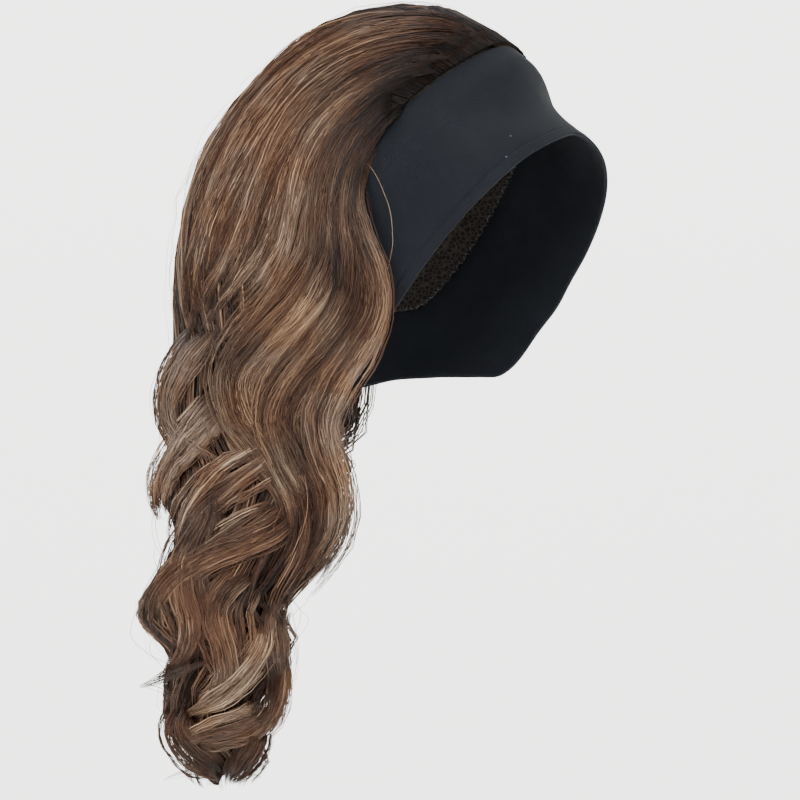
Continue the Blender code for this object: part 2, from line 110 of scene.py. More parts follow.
# %% Floor and sweep
FLOOR_LEVEL, FLOOR_RADIUS, SWEEP_RADIUS, WALL_TOP = -0.62, 3.2, 0.9, 3.4
sweep_profile = [(0.0, FLOOR_LEVEL), (FLOOR_RADIUS - SWEEP_RADIUS, FLOOR_LEVEL)]
sweep_profile += [
    (
        FLOOR_RADIUS - SWEEP_RADIUS + SWEEP_RADIUS * math.sin(turn),
        FLOOR_LEVEL + SWEEP_RADIUS * (1 - math.cos(turn)),
    )
    for turn in np.linspace(0, math.pi / 2, 13)[1:]
]
sweep_profile.append((FLOOR_RADIUS, WALL_TOP))
ROUND_STEPS = 96
sweep_points, sweep_faces = [(0, 0, FLOOR_LEVEL)], []
for radius, level in sweep_profile[1:]:
    for turn in np.linspace(0, 2 * math.pi, ROUND_STEPS, endpoint=False):
        sweep_points.append((radius * math.cos(turn), radius * math.sin(turn), level))
for j in range(ROUND_STEPS):
    k = (j + 1) % ROUND_STEPS
    sweep_faces.append((0, 1 + j, 1 + k))
    for i in range(len(sweep_profile) - 2):
        a, b = 1 + i * ROUND_STEPS, 1 + (i + 1) * ROUND_STEPS
        sweep_faces.append((a + j, b + j, b + k, a + k))
paper, _, paper_shader = new_material("studio_paper", (0.90, 0.90, 0.89), 0.9)
paper_shader.inputs["Emission Color"].default_value = (1, 1, 1, 1)
paper_shader.inputs["Emission Strength"].default_value = 1.1
sweep = mesh_piece("studio_floor", sweep_points, sweep_faces, paper)


# %% Lights
def soft_light(name, place, target, size, power, colour=(1, 1, 1)):
    light = bpy.data.lights.new(name, "AREA")
    light.shape = "DISK"
    light.size = size
    light.energy = power
    light.color = colour
    obj = bpy.data.objects.new(name, light)
    obj.location = place
    direction = np.array(target, float) - np.array(place, float)
    flat = math.hypot(direction[0], direction[1])
    obj.rotation_euler = (
        math.pi / 2 + math.atan2(direction[2], flat), 0, math.atan2(-direction[0], direction[1])
    )
    bpy.context.scene.collection.objects.link(obj)


AIM = (0, 0, -0.19)
soft_light("key", (-1.5, -1.2, 1.1), AIM, 0.7, 70, (1.0, 0.98, 0.95))
soft_light("fill", (-1.9, 0.5, 0.3), AIM, 1.4, 4, (0.96, 0.98, 1.0))
soft_light("top", (0.3, 0.6, 2.0), AIM, 1.0, 40)
world = bpy.data.worlds.new("studio_air")
world.use_nodes = True
world.node_tree.nodes["Background"].inputs["Color"].default_value = (1, 1, 1, 1)
world.node_tree.nodes["Background"].inputs["Strength"].default_value = 0.15
bpy.context.scene.world = world

# %% [markdown]
# ## The shape that everything lies on
# A stretch band and a net cap take the shape of the head inside them, so one egg with a sloping
# brow gives both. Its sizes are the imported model's own. A point on it is named by an angle round
# the cap's pole and an angle out from that pole.

# %% The head's egg
HEAD_HALVES = np.array([0.076, 0.096, 0.115])
HEAD_CENTRE = np.array([0.0, 0.0, -0.115])
BROW_SLOPE = 0.118
CAP_TILT = math.radians(35.7)


def smooth_curve(knots, values, at):
    """A curve through the values that doesn't overshoot them."""
    knots, values = np.asarray(knots, float), np.asarray(values, float)
    step = np.diff(knots)
    rise = np.diff(values) / step
    slope = np.zeros_like(values)
    same_way = rise[:-1] * rise[1:] > 0
    before, after = 2 * step[1:] + step[:-1], step[1:] + 2 * step[:-1]
    with np.errstate(divide="ignore", invalid="ignore"):
        mean = (before + after) / (before / rise[:-1] + after / rise[1:])
    slope[1:-1] = np.where(same_way, mean, 0.0)
    slope[0], slope[-1] = rise[0], rise[-1]
    at = np.clip(np.asarray(at, float), knots[0], knots[-1])
    i = np.clip(np.searchsorted(knots, at, side="right") - 1, 0, len(step) - 1)
    h, u = step[i], (at - knots[i]) / step[i]
    return (
        values[i] * (2 * u**3 - 3 * u**2 + 1)
        + values[i + 1] * (3 * u**2 - 2 * u**3)
        + h * slope[i] * (u**3 - 2 * u**2 + u)
        + h * slope[i + 1] * (u**3 - u**2)
    )


def head_radius(direction, out):
    halves = HEAD_HALVES + np.asarray(out, float)[..., None]
    egg = 1 / np.linalg.norm(direction / halves, axis=-1)
    lift = np.arcsin(np.clip(direction[..., 2], -1, 1))
    turn = np.arctan2(direction[..., 0], -direction[..., 1])
    slope = np.exp(-(((lift - math.radians(53)) / math.radians(17)) ** 2))
    slope = slope * np.exp(-((turn / math.radians(62)) ** 4)) * np.cos(lift)
    return egg * (1 - BROW_SLOPE * slope / math.cos(math.radians(53)))


def head_point(round_deg, out_deg, raised=0.0):
    pole = np.array([0, math.cos(CAP_TILT), math.sin(CAP_TILT)])
    top = np.array([0, -math.sin(CAP_TILT), math.cos(CAP_TILT)])
    left = np.array([1.0, 0, 0])
    turn, out = np.radians(round_deg)[..., None], np.radians(out_deg)[..., None]
    direction = np.cos(out) * pole + np.sin(out) * (np.cos(turn) * top + np.sin(turn) * left)
    return HEAD_CENTRE + direction * head_radius(direction, raised)[..., None]


# %% [markdown]
# The band's front edge runs from the top of the forehead down behind the ears to the nape. Its
# rear edge is found by walking back over the egg by the band's width.

# %% The band's two edges
BAND_WIDTH, BAND_WALL, BAND_RIDGE = 0.060, 0.0018, 0.0030
CAP_WALL, SEAM_GAP = 0.0012, 0.0003
BAND_ROUND = (0, 15, 30, 45, 60, 75, 90, 105, 120, 127, 132, 140, 152, 180)
BAND_OUT = (108.0, 110.1, 111.8, 113.5, 114.7, 115.4, 115.3, 114.2, 112.6, 110.0, 103.0, 92.5, 82.5, 75.0)
BAND_SHARE = (1.00, 1.00, 1.01, 1.01, 1.02, 1.01, 1.00, 0.99, 1.00, 0.98, 0.89, 0.76, 0.65, 0.63)


def folded(round_deg):
    return np.abs((np.asarray(round_deg, float) + 180) % 360 - 180)


def band_front(round_deg):
    return smooth_curve(BAND_ROUND, BAND_OUT, folded(round_deg))


def behind_front(round_deg, width):
    """The angle out from the pole that is width behind the front edge, measured over the egg."""
    steps = np.linspace(0, 62, 125)
    outs = band_front(round_deg)[:, None] - steps
    points = head_point(np.repeat(round_deg[:, None], len(steps), 1), outs)
    lengths = np.cumsum(np.linalg.norm(np.diff(points, axis=1), axis=-1), axis=1)
    lengths = np.concatenate([np.zeros((len(lengths), 1)), lengths], axis=1)
    return np.array([np.interp(w, row, out) for w, row, out in zip(width, lengths, outs)])


whole_round = np.arange(-180.0, 181.0, 1.0)
band_widths = BAND_WIDTH * smooth_curve(BAND_ROUND, BAND_SHARE, folded(whole_round))
rear_edge = behind_front(whole_round, band_widths)
root_line = behind_front(whole_round, band_widths + 0.0006)
cap_rim = behind_front(whole_round, band_widths + SEAM_GAP)
print("band width from", round(band_widths.min() * 1000, 1), "to", round(band_widths.max() * 1000, 1), "mm")

# %% [markdown]
# ## How the hair flows
# Sewn hair leaves the cap in rows and then moves as one body, so one map can place every strand.
# The map has three directions: across the hair from the wearer's right (-1) to the left (1), out
# through its depth (0 to 1), and along it by stages from the root (0) to the tips (14).

# %% The sections of the hair
HAIR_GAP, HAIR_DROP, ROOT_THICKNESS = 0.0015, 0.266, 0.0042
ROOT_GAP = 0.0004
BACK_THICKNESS, FALL_HALF_WIDTH, WAVE_HEIGHT = 0.046, 0.050, 0.0115
# mid and side height, y, x, thickness at the middle and the sides, and the reach to each side
HEAD_ROWS = (
    (1.03, 0.32, 0.06, 0.98, 0.20, 0.13, 90, 86),
    (0.86, 0.07, 0.56, 1.05, 0.48, 0.20, 96, 88),
    (0.45, -0.14, 0.91, 1.07, 0.80, 0.26, 98, 82),
    (0.01, -0.36, 1.02, 1.05, 1.04, 0.28, 97, 60),
)
# down at the middle and the sides, centre x and y, inner x and y, outer x and y, and the reach
FALL_ROWS = (
    (0.180, 0.255, -0.09, 0.00, 1.49, 1.88, 1.86, 2.86, 93, 38),
    (0.360, 0.385, -0.25, 0.03, 1.10, 1.62, 1.48, 2.98, 91, 24),
    (0.457, 0.457, -0.53, 0.47, 0.44, 0.90, 1.10, 1.98, 130, 44),
    (0.541, 0.541, -0.61, 0.66, 0.20, 0.28, 0.94, 1.20, 154, 92),
    (0.654, 0.654, -0.79, 0.88, 0.10, 0.10, 0.77, 0.77, 195, 130),
    (0.739, 0.739, -0.82, 0.94, 0.09, 0.09, 0.67, 0.67, 208, 140),
    (0.823, 0.823, -0.78, 0.94, 0.08, 0.08, 0.56, 0.56, 210, 142),
    (0.908, 0.908, -0.80, 0.97, 0.07, 0.07, 0.50, 0.52, 210, 142),
    (0.964, 0.964, -0.78, 0.96, 0.05, 0.05, 0.40, 0.40, 210, 142),
    (1.000, 1.000, -0.75, 0.93, 0.03, 0.03, 0.24, 0.24, 210, 142),
)


def side_angle(across, right_deg, left_deg):
    return np.radians(across * np.where(across < 0, right_deg, left_deg))


def root_section(across, depth):
    turns = across * 60.0
    raised = CAP_WALL + ROOT_GAP + depth * ROOT_THICKNESS
    return head_point(turns, np.interp(turns, whole_round, root_line), raised)


def head_section(row, across, depth):
    mid_z, side_z, y, x, thick, side_thick, right_deg, left_deg = row
    angle = side_angle(across, right_deg, left_deg)
    towards_mid = np.cos(across * math.pi / 2)
    height = side_z + (mid_z - side_z) * towards_mid
    flat = np.stack([x * np.sin(angle), y * np.cos(angle), height], axis=-1) * HEAD_HALVES
    direction = flat / np.linalg.norm(flat, axis=-1)[..., None]
    inner = head_radius(direction, BAND_WALL + HAIR_GAP)
    thick = side_thick + (thick - side_thick) * towards_mid
    return HEAD_CENTRE + direction * (inner + depth * thick * BACK_THICKNESS)[..., None]


def fall_section(row, across, depth):
    down, side_down, centre_x, centre_y, inner_x, inner_y, outer_x, outer_y, right_deg, left_deg = row
    angle = side_angle(across, right_deg, left_deg)
    towards_mid = np.cos(across * math.pi / 2)
    half_x = inner_x + depth * (outer_x - inner_x)
    half_y = inner_y + depth * (outer_y - inner_y)
    reach = FALL_HALF_WIDTH / np.hypot(np.sin(angle) / half_x, np.cos(angle) / half_y)
    level = -(side_down + (down - side_down) * towards_mid) * HAIR_DROP
    flat = np.stack(
        [
            centre_x * HEAD_HALVES[0] + reach * np.sin(angle),
            centre_y * HEAD_HALVES[1] + reach * np.cos(angle),
            level,
        ],
        axis=-1,
    )
    return HEAD_CENTRE + flat


def catmull(places, stage):
    """Smooth curves through the sections, read at one stage for each place."""
    last = len(places) - 1
    i = np.clip(stage.astype(int), 0, last - 1)
    u = (stage - i)[:, None]
    pick = np.arange(places.shape[1])
    before, start = places[np.maximum(i - 1, 0), pick], places[i, pick]
    end, after = places[i + 1, pick], places[np.minimum(i + 2, last), pick]
    return start + 0.5 * u * (
        end - before + u * (2 * before - 5 * start + 4 * end - after + u * (3 * (start - end) + after - before))
    )


def still_point(across, depth, stage):
    places = [root_section(across, depth)]
    places += [head_section(row, across, depth) for row in HEAD_ROWS]
    places += [fall_section(row, across, depth) for row in FALL_ROWS]
    return catmull(np.array(places), stage)


# %% [markdown]
# Wavy hair is set on rollers, so its waves march down in step: every lock turns at about the same
# height. The table says at which share of the drop each crest stands and how high it is.

# %% The waves
WAVE_DOWN = (-0.45, -0.13, 0.11, 0.306, 0.440, 0.665, 0.750, 0.850, 0.930, 1.000)
WAVE_TURNS = (-2.0, -1.0, 0.0, 1.0, 2.0, 3.0, 4.0, 5.0, 6.0, 6.8)
WAVE_SHARE = (0.0, 0.30, 0.85, 1.00, 0.90, 0.75, 0.70, 0.50, 0.55, 0.40)
FACE_WAY = np.array([0.545, -0.839, 0.0])


def hair_point(across, depth, stage, late=0.0, swing=1.0):
    """A point in the hair, and the directions across it and out of it there."""
    across, depth, stage = (np.asarray(v, float) for v in (across, depth, stage))
    still = still_point(across, depth, stage)
    sideways = still_point(across + 0.01, depth, stage) - still
    sideways /= np.linalg.norm(sideways, axis=-1)[:, None]
    down = (HEAD_CENTRE[2] - still[:, 2]) / HAIR_DROP
    own = 0.03 * np.sin(2.1 * across + 0.4) * np.clip(down + 0.2, 0, 1) + late
    turns = smooth_curve(WAVE_DOWN, WAVE_TURNS, down - own)
    height = (WAVE_HEIGHT * smooth_curve(WAVE_DOWN, WAVE_SHARE, down) * swing)[:, None]
    outward = np.cross(sideways, np.array([0, 0, 1.0]))
    outward /= np.linalg.norm(outward, axis=-1)[:, None] + 1e-9
    outward *= np.sign(np.sum(outward * (still - HEAD_CENTRE), axis=-1))[:, None]
    free = np.clip((down - 0.36) / 0.14, 0, 1)[:, None]
    way = (1 - free) * -sideways + free * FACE_WAY
    moved = still + way * height * np.cos(math.pi * turns)[:, None]
    moved += (1 - free) * 0.25 * outward * height * np.sin(math.pi * turns)[:, None]
    arms = moved - HEAD_CENTRE
    reach = np.linalg.norm(arms, axis=-1)
    direction = arms / reach[:, None]
    clear = np.maximum(reach, head_radius(direction, BAND_WALL + HAIR_GAP))
    return HEAD_CENTRE + direction * clear[:, None], sideways, outward


def stage_of_down(down):
    return np.interp(down, [row[0] for row in FALL_ROWS], np.arange(5, 15))


# %% [markdown]
# ## The locks that show
# From the wearer's right the hair breaks into locks that cross each other, so those are laid one
# by one: each has a line on the near side of the hair, a half width, a lift and a tone. The line is
# given as seen from the camera and dropped onto the outside of the hair, which is measured first.

# %% The near side of the hair
RIGHT_WAY = np.array([0.545, -0.839, 0.0])
CAMERA_WAY = np.array([-0.839, -0.545, 0.0])
VIEW_SCALE, VIEW_REACH, VIEW_MIDDLE, VIEW_LEVEL = 2000.0, 1.5, (440.0, 400.0), 0.0715
CELL = 4
CELLS = 200


def seen_at(points):
    """Where points show in the view, and how far towards the camera they stand."""
    arms = points - HEAD_CENTRE
    towards = arms @ CAMERA_WAY
    scale = VIEW_SCALE * VIEW_REACH / (VIEW_REACH - towards)
    return VIEW_MIDDLE[0] + scale * (arms @ RIGHT_WAY), VIEW_MIDDLE[1] - scale * (arms[..., 2] + VIEW_LEVEL), towards


def placed(x, y, towards):
    """The point that shows at x, y and stands that far towards the camera."""
    scale = VIEW_SCALE * VIEW_REACH / (VIEW_REACH - towards)
    along = (x - VIEW_MIDDLE[0]) / scale
    level = -VIEW_LEVEL - (y - VIEW_MIDDLE[1]) / scale
    return (
        HEAD_CENTRE + along[..., None] * RIGHT_WAY + towards[..., None] * CAMERA_WAY
        + level[..., None] * np.array([0, 0, 1.0])
    )


def near_side(points):
    """How far the points stand towards the camera, in cells of the view, filled in and smoothed."""
    x, y, towards = seen_at(points)
    ix = np.clip((x / CELL).astype(int), 0, CELLS - 1)
    iy = np.clip((y / CELL).astype(int), 0, CELLS - 1)
    grid = np.full((CELLS, CELLS), -1.0)
    np.maximum.at(grid, (iy, ix), towards)
    known = grid > -0.9
    filled = np.where(known, grid, 0.0)
    weight = known.astype(float)

    def blurred(a):
        padded = np.pad(a, 1, mode="edge")
        return sum(
            padded[1 + i:1 + i + CELLS, 1 + j:1 + j + CELLS] for i in (-1, 0, 1) for j in (-1, 0, 1)
        ) / 9

    for _ in range(30):
        top, low = blurred(filled * weight), blurred(weight)
        spread = np.where(low > 1e-6, top / np.maximum(low, 1e-6), 0.0)
        grown_to = (low > 1e-6) & ~known & (weight == 0)
        filled = np.where(grown_to, spread, filled)
        weight = np.where(grown_to, 1.0, weight)
    for _ in range(4):
        filled = blurred(filled)
    return filled


# Only the near half is measured, so that no lock jumps to the far side past the near one's edge
across, stage = np.meshgrid(np.linspace(-1, 0.1, 300), np.linspace(0, 14, 760), indexing="ij")
hair_outside, _, _ = hair_point(across.reshape(-1), np.full(across.size, 0.98), stage.reshape(-1))
NEAR = near_side(hair_outside)


def near_at(x, y, NEAR=NEAR):
    u = np.clip(np.asarray(x, float) / CELL - 0.5, 0, CELLS - 1.001)
    v = np.clip(np.asarray(y, float) / CELL - 0.5, 0, CELLS - 1.001)
    i, j = u.astype(int), v.astype(int)
    a, b = u - i, v - j
    return (
        NEAR[j, i] * (1 - a) * (1 - b) + NEAR[j, i + 1] * a * (1 - b)
        + NEAR[j + 1, i] * (1 - a) * b + NEAR[j + 1, i + 1] * a * b
    )


# %% Painted shade and highlight, and the hair's own darker and paler places
# Places that are darker and sunk, or paler and raised, mostly painted shade and painted highlight and in
# part the hair's own tone: x, y, half sizes along and across a tilt, the tilt in degrees, the tone they
# add and the lift in mm
TONE_AND_PAINTED_LIGHT_PATCHES = (
    (400, 86, 42, 20, -42, -0.50, -2.5),
    (470, 50, 40, 10, -25, -0.22, -0.5),
    (340, 275, 36, 18, 70, -0.34, -1.2),
    (300, 315, 36, 20, -35, 0.13, 1.0),
    (226, 272, 16, 10, -35, 0.14, 0.8),
    (236, 352, 26, 16, -50, -0.20, -1.2),
    (298, 522, 30, 9, -72, -0.30, -3.0),
    (213, 503, 22, 11, -60, -0.26, -2.0),
    (270, 682, 24, 12, -75, -0.30, -2.0),
    (190, 540, 16, 9, -30, -0.20, -1.5),
    (222, 600, 18, 10, -60, -0.18, -1.0),
    (330, 480, 50, 12, 85, 0.03, 0.0),
    (215, 765, 34, 18, 0, -0.14, 0.0),
    (196, 678, 12, 12, 0, 0.12, 0.0),
    (185, 440, 26, 14, -50, 0.08, 0.0),
)


def tone_and_painted_light_at(x, y):
    tone, lift = np.zeros_like(x), np.zeros_like(x)
    for px, py, along, across, tilt, more, raised in TONE_AND_PAINTED_LIGHT_PATCHES:
        turn = math.radians(tilt)
        u = ((x - px) * math.cos(turn) + (y - py) * math.sin(turn)) / along
        v = (-(x - px) * math.sin(turn) + (y - py) * math.cos(turn)) / across
        fade = np.exp(-(u**2 + v**2))
        tone += more * fade
        lift += raised * fade
    return tone, lift


# %% [markdown]
# ## Hair colours
# The hair is a dark brown with paler strands mixed in, from ash to gold, and it is darkest at the
# roots, where little light gets in. Each strand carries its own tone, and a ramp turns that tone
# into a colour.

# %% Strand material
def hair_material(name, darker=1.0):
    made, tree, shader = new_material(name, roughness=0.45)
    shader.inputs["Specular IOR Level"].default_value = 0.16
    tone = node(tree, "ShaderNodeAttribute", attribute_name="tone")
    share = node(tree, "ShaderNodeAttribute", attribute_name="share")

    def shades(*stops):
        return ramp(tree, [(at, tuple(darker * v for v in colour)) for at, colour in stops], tone.outputs["Fac"])

    warm = shades(
        (0.00, (0.0060, 0.0020, 0.0010)), (0.30, (0.0250, 0.0090, 0.0042)), (0.55, (0.0700, 0.0340, 0.0180)),
        (0.78, (0.1650, 0.1000, 0.0580)), (1.00, (0.3500, 0.2350, 0.1380)),
    )
    ash = shades(
        (0.00, (0.0060, 0.0026, 0.0014)), (0.30, (0.0230, 0.0110, 0.0062)), (0.55, (0.0660, 0.0390, 0.0245)),
        (0.78, (0.1600, 0.1080, 0.0740)), (1.00, (0.3400, 0.2500, 0.1720)),
    )
    place = node(tree, "ShaderNodeTexCoord")
    drift = node(tree, "ShaderNodeTexNoise", Scale=34.0, Detail=2.0)
    tree.links.new(place.outputs["Object"], drift.inputs["Vector"])
    steep = ramp(tree, [(0.42, (0, 0, 0)), (0.58, (1, 1, 1))], drift.outputs["Fac"])
    hue = node(tree, "ShaderNodeMix", data_type="RGBA")
    tree.links.new(steep, hue.inputs["Factor"])
    tree.links.new(warm, hue.inputs["A"])
    tree.links.new(ash, hue.inputs["B"])
    # Painted shade: the colour is multiplied darker towards the roots, where little light gets in
    root = ramp(
        tree,
        [(0.0, (0.09, 0.05, 0.04)), (0.05, (0.26, 0.20, 0.17)), (0.12, (0.75, 0.72, 0.70)), (0.20, (1, 1, 1))],
        share.outputs["Fac"],
    )
    mix = node(tree, "ShaderNodeMix", data_type="RGBA", blend_type="MULTIPLY")
    mix.inputs["Factor"].default_value = 1.0
    tree.links.new(hue.outputs["Result"], mix.inputs["A"])
    tree.links.new(root, mix.inputs["B"])
    tree.links.new(mix.outputs["Result"], shader.inputs["Base Color"])
    return made


hair_look = hair_material("hair_strands")
# The inside and under hair take the strand colours painted darker, as shade
shaded_under_look = hair_material("hair_under_strands_painted_shade", 0.55)

# %% [markdown]
# ## Locks of strands
# A lock is a few strands that keep together. One guide line is laid through the hair for each lock,
# and a Geometry Nodes tree copies it several times, spreads the copies round it, lets each stray a
# little, and gives each the body of a thin three-sided fibre. The spread narrows towards the tip.


# %% The strand tree
def socket(tree, name, kind, value=None):
    made = tree.interface.new_socket(name=name, in_out="INPUT", socket_type=kind)
    if value is not None:
        made.default_value = value
    return made


def strand_tree():
    tree = bpy.data.node_groups.new("strands_from_guides", "GeometryNodeTree")
    socket(tree, "Geometry", "NodeSocketGeometry")
    socket(tree, "Strands a lock", "NodeSocketInt", 12)
    socket(tree, "Lock spread", "NodeSocketFloat", 0.003)
    socket(tree, "Stray", "NodeSocketFloat", 0.0008)
    socket(tree, "Strand radius", "NodeSocketFloat", 0.0003)
    socket(tree, "Tone spread", "NodeSocketFloat", 0.10)
    socket(tree, "Pale share", "NodeSocketFloat", 0.15)
    socket(tree, "Pale lift", "NodeSocketFloat", 0.25)
    socket(tree, "Seed", "NodeSocketInt", 1)
    socket(tree, "Material", "NodeSocketMaterial")
    tree.interface.new_socket(name="Geometry", in_out="OUTPUT", socket_type="NodeSocketGeometry")
    given = tree.nodes.new("NodeGroupInput")
    link = tree.links.new

    def attribute(name, kind="FLOAT"):
        made = node(tree, "GeometryNodeInputNamedAttribute", data_type=kind)
        made.inputs["Name"].default_value = name
        return made.outputs["Attribute"]

    def maths(operation, *sources):
        made = node(tree, "ShaderNodeMath", operation=operation)
        for i, source in enumerate(sources):
            if isinstance(source, (int, float)):
                made.inputs[i].default_value = source
            else:
                link(source, made.inputs[i])
        return made.outputs["Value"]

    def scaled(vector, factor):
        made = node(tree, "ShaderNodeVectorMath", operation="SCALE")
        link(vector, made.inputs[0])
        link(factor, made.inputs["Scale"])
        return made.outputs["Vector"]

    def added(a, b):
        made = node(tree, "ShaderNodeVectorMath", operation="ADD")
        link(a, made.inputs[0])
        link(b, made.inputs[1])
        return made.outputs["Vector"]

    def by_strand(low, high, offset):
        """A random number that is the same all along a strand."""
        seed = maths("ADD", given.outputs["Seed"], offset)
        random = node(tree, "FunctionNodeRandomValue", data_type="FLOAT")
        random.inputs[2].default_value = low
        random.inputs[3].default_value = high
        link(seed, random.inputs["Seed"])
        whole = node(tree, "GeometryNodeFieldOnDomain", domain="CURVE", data_type="FLOAT")
        link(random.outputs[1], whole.inputs[0])
        return whole.outputs[0]

    curves = node(tree, "GeometryNodeMeshToCurve")
    link(given.outputs["Geometry"], curves.inputs["Mesh"])
    copies = node(tree, "GeometryNodeDuplicateElements", domain="SPLINE")
    link(curves.outputs["Curve"], copies.inputs["Geometry"])
    link(given.outputs["Strands a lock"], copies.inputs["Amount"])

    spread = maths("MULTIPLY", attribute("spread"), given.outputs["Lock spread"])
    wide = maths("MULTIPLY", spread, by_strand(-1.0, 1.0, 1))
    high = maths("MULTIPLY", spread, by_strand(-0.35, 0.35, 2))
    offset = added(
        scaled(attribute("sideways", "FLOAT_VECTOR"), wide),
        scaled(attribute("outward", "FLOAT_VECTOR"), high),
    )
    phase = by_strand(0.0, 60.0, 3)
    along = maths("ADD", maths("MULTIPLY", attribute("length"), 14.0), phase)
    noise = node(tree, "ShaderNodeTexNoise", noise_dimensions="1D", normalize=False)
    link(along, noise.inputs["W"])
    stray = scaled(noise.outputs["Color"], maths("MULTIPLY", given.outputs["Stray"], attribute("loose")))
    moved = node(tree, "GeometryNodeSetPosition")
    link(copies.outputs["Geometry"], moved.inputs["Geometry"])
    link(added(offset, stray), moved.inputs["Offset"])

    toned = node(tree, "GeometryNodeStoreNamedAttribute", data_type="FLOAT", domain="POINT")
    toned.inputs["Name"].default_value = "tone"
    link(moved.outputs["Geometry"], toned.inputs["Geometry"])
    own_tone = maths("MULTIPLY", given.outputs["Tone spread"], by_strand(-1.0, 1.0, 5))
    pale = maths("LESS_THAN", by_strand(0.0, 1.0, 6), given.outputs["Pale share"])
    own_tone = maths("ADD", own_tone, maths("MULTIPLY", pale, given.outputs["Pale lift"]))
    link(maths("ADD", attribute("tone"), own_tone), toned.inputs["Value"])

    sized = node(tree, "GeometryNodeSetCurveRadius")
    link(toned.outputs["Geometry"], sized.inputs["Curve"])
    own_size = maths("MULTIPLY", by_strand(0.7, 1.25, 4), given.outputs["Strand radius"])
    link(maths("MULTIPLY", own_size, attribute("thick")), sized.inputs["Radius"])
    ring = node(tree, "GeometryNodeCurvePrimitiveCircle", mode="RADIUS")
    ring.inputs["Resolution"].default_value = 3
    ring.inputs["Radius"].default_value = 1.0
    body = node(tree, "GeometryNodeCurveToMesh")
    body.inputs["Fill Caps"].default_value = True
    link(sized.outputs["Curve"], body.inputs["Curve"])
    link(ring.outputs["Curve"], body.inputs["Profile Curve"])
    if "Scale" in body.inputs:
        radius = node(tree, "GeometryNodeInputRadius")
        link(radius.outputs["Radius"], body.inputs["Scale"])
    shade = node(tree, "GeometryNodeSetShadeSmooth")
    link(body.outputs["Mesh"], shade.inputs["Geometry"])
    real = node(tree, "GeometryNodeRealizeInstances")
    link(shade.outputs["Geometry"], real.inputs["Geometry"])
    look = node(tree, "GeometryNodeSetMaterial")
    link(real.outputs["Geometry"], look.inputs["Geometry"])
    link(given.outputs["Material"], look.inputs["Material"])
    done = tree.nodes.new("NodeGroupOutput")
    link(look.outputs["Geometry"], done.inputs["Geometry"])
    return tree


STRANDS = strand_tree()


# %% Guides to strands
def through_tree(name, mesh, tree, **settings):
    """The plain mesh that a Geometry Nodes tree makes of a mesh."""
    holder = bpy.data.objects.new(name + "_guides", mesh)
    bpy.context.scene.collection.objects.link(holder)
    modifier = holder.modifiers.new("tree", "NODES")
    modifier.node_group = tree
    for item in tree.interface.items_tree:
        if item.in_out == "INPUT" and item.name in settings:
            modifier[item.identifier] = settings[item.name]
    bpy.context.view_layer.update()
    graph = bpy.context.evaluated_depsgraph_get()
    made = bpy.data.meshes.new_from_object(holder.evaluated_get(graph), depsgraph=graph)
    bpy.data.objects.remove(holder)
    made.name = name
    obj = bpy.data.objects.new(name, made)
    bpy.context.scene.collection.objects.link(obj)
    return obj


def grown(name, guides, look, **settings):
    """Strands grown on guides: a dict of arrays, one row for each guide and one column a point."""
    points = guides["point"]
    count, steps = points.shape[:2]
    mesh = bpy.data.meshes.new(name + "_guides")
    mesh.vertices.add(count * steps)
    mesh.vertices.foreach_set("co", points.reshape(-1))
    starts = np.arange(count)[:, None] * steps + np.arange(steps - 1)
    pairs = np.stack([starts, starts + 1], axis=-1)
    mesh.edges.add(count * (steps - 1))
    mesh.edges.foreach_set("vertices", pairs.reshape(-1))
    for key in ("spread", "thick", "tone", "length", "loose", "share"):
        values = np.broadcast_to(guides[key], (count, steps)).astype(np.float32)
        mesh.attributes.new(key, "FLOAT", "POINT").data.foreach_set("value", values.reshape(-1))
    for key in ("sideways", "outward"):
        mesh.attributes.new(key, "FLOAT_VECTOR", "POINT").data.foreach_set("vector", guides[key].reshape(-1))
    mesh.update()
    obj = through_tree(name, mesh, STRANDS, **settings, Material=look)
    made = obj.data
    for spare in ("spread", "thick", "length", "loose", "sideways", "outward", "radius"):
        if spare in made.attributes:
            made.attributes.remove(made.attributes[spare])
    made.calc_loop_triangles()
    print(f"{name}: {count} locks, {len(made.loop_triangles)} triangles")
    return obj


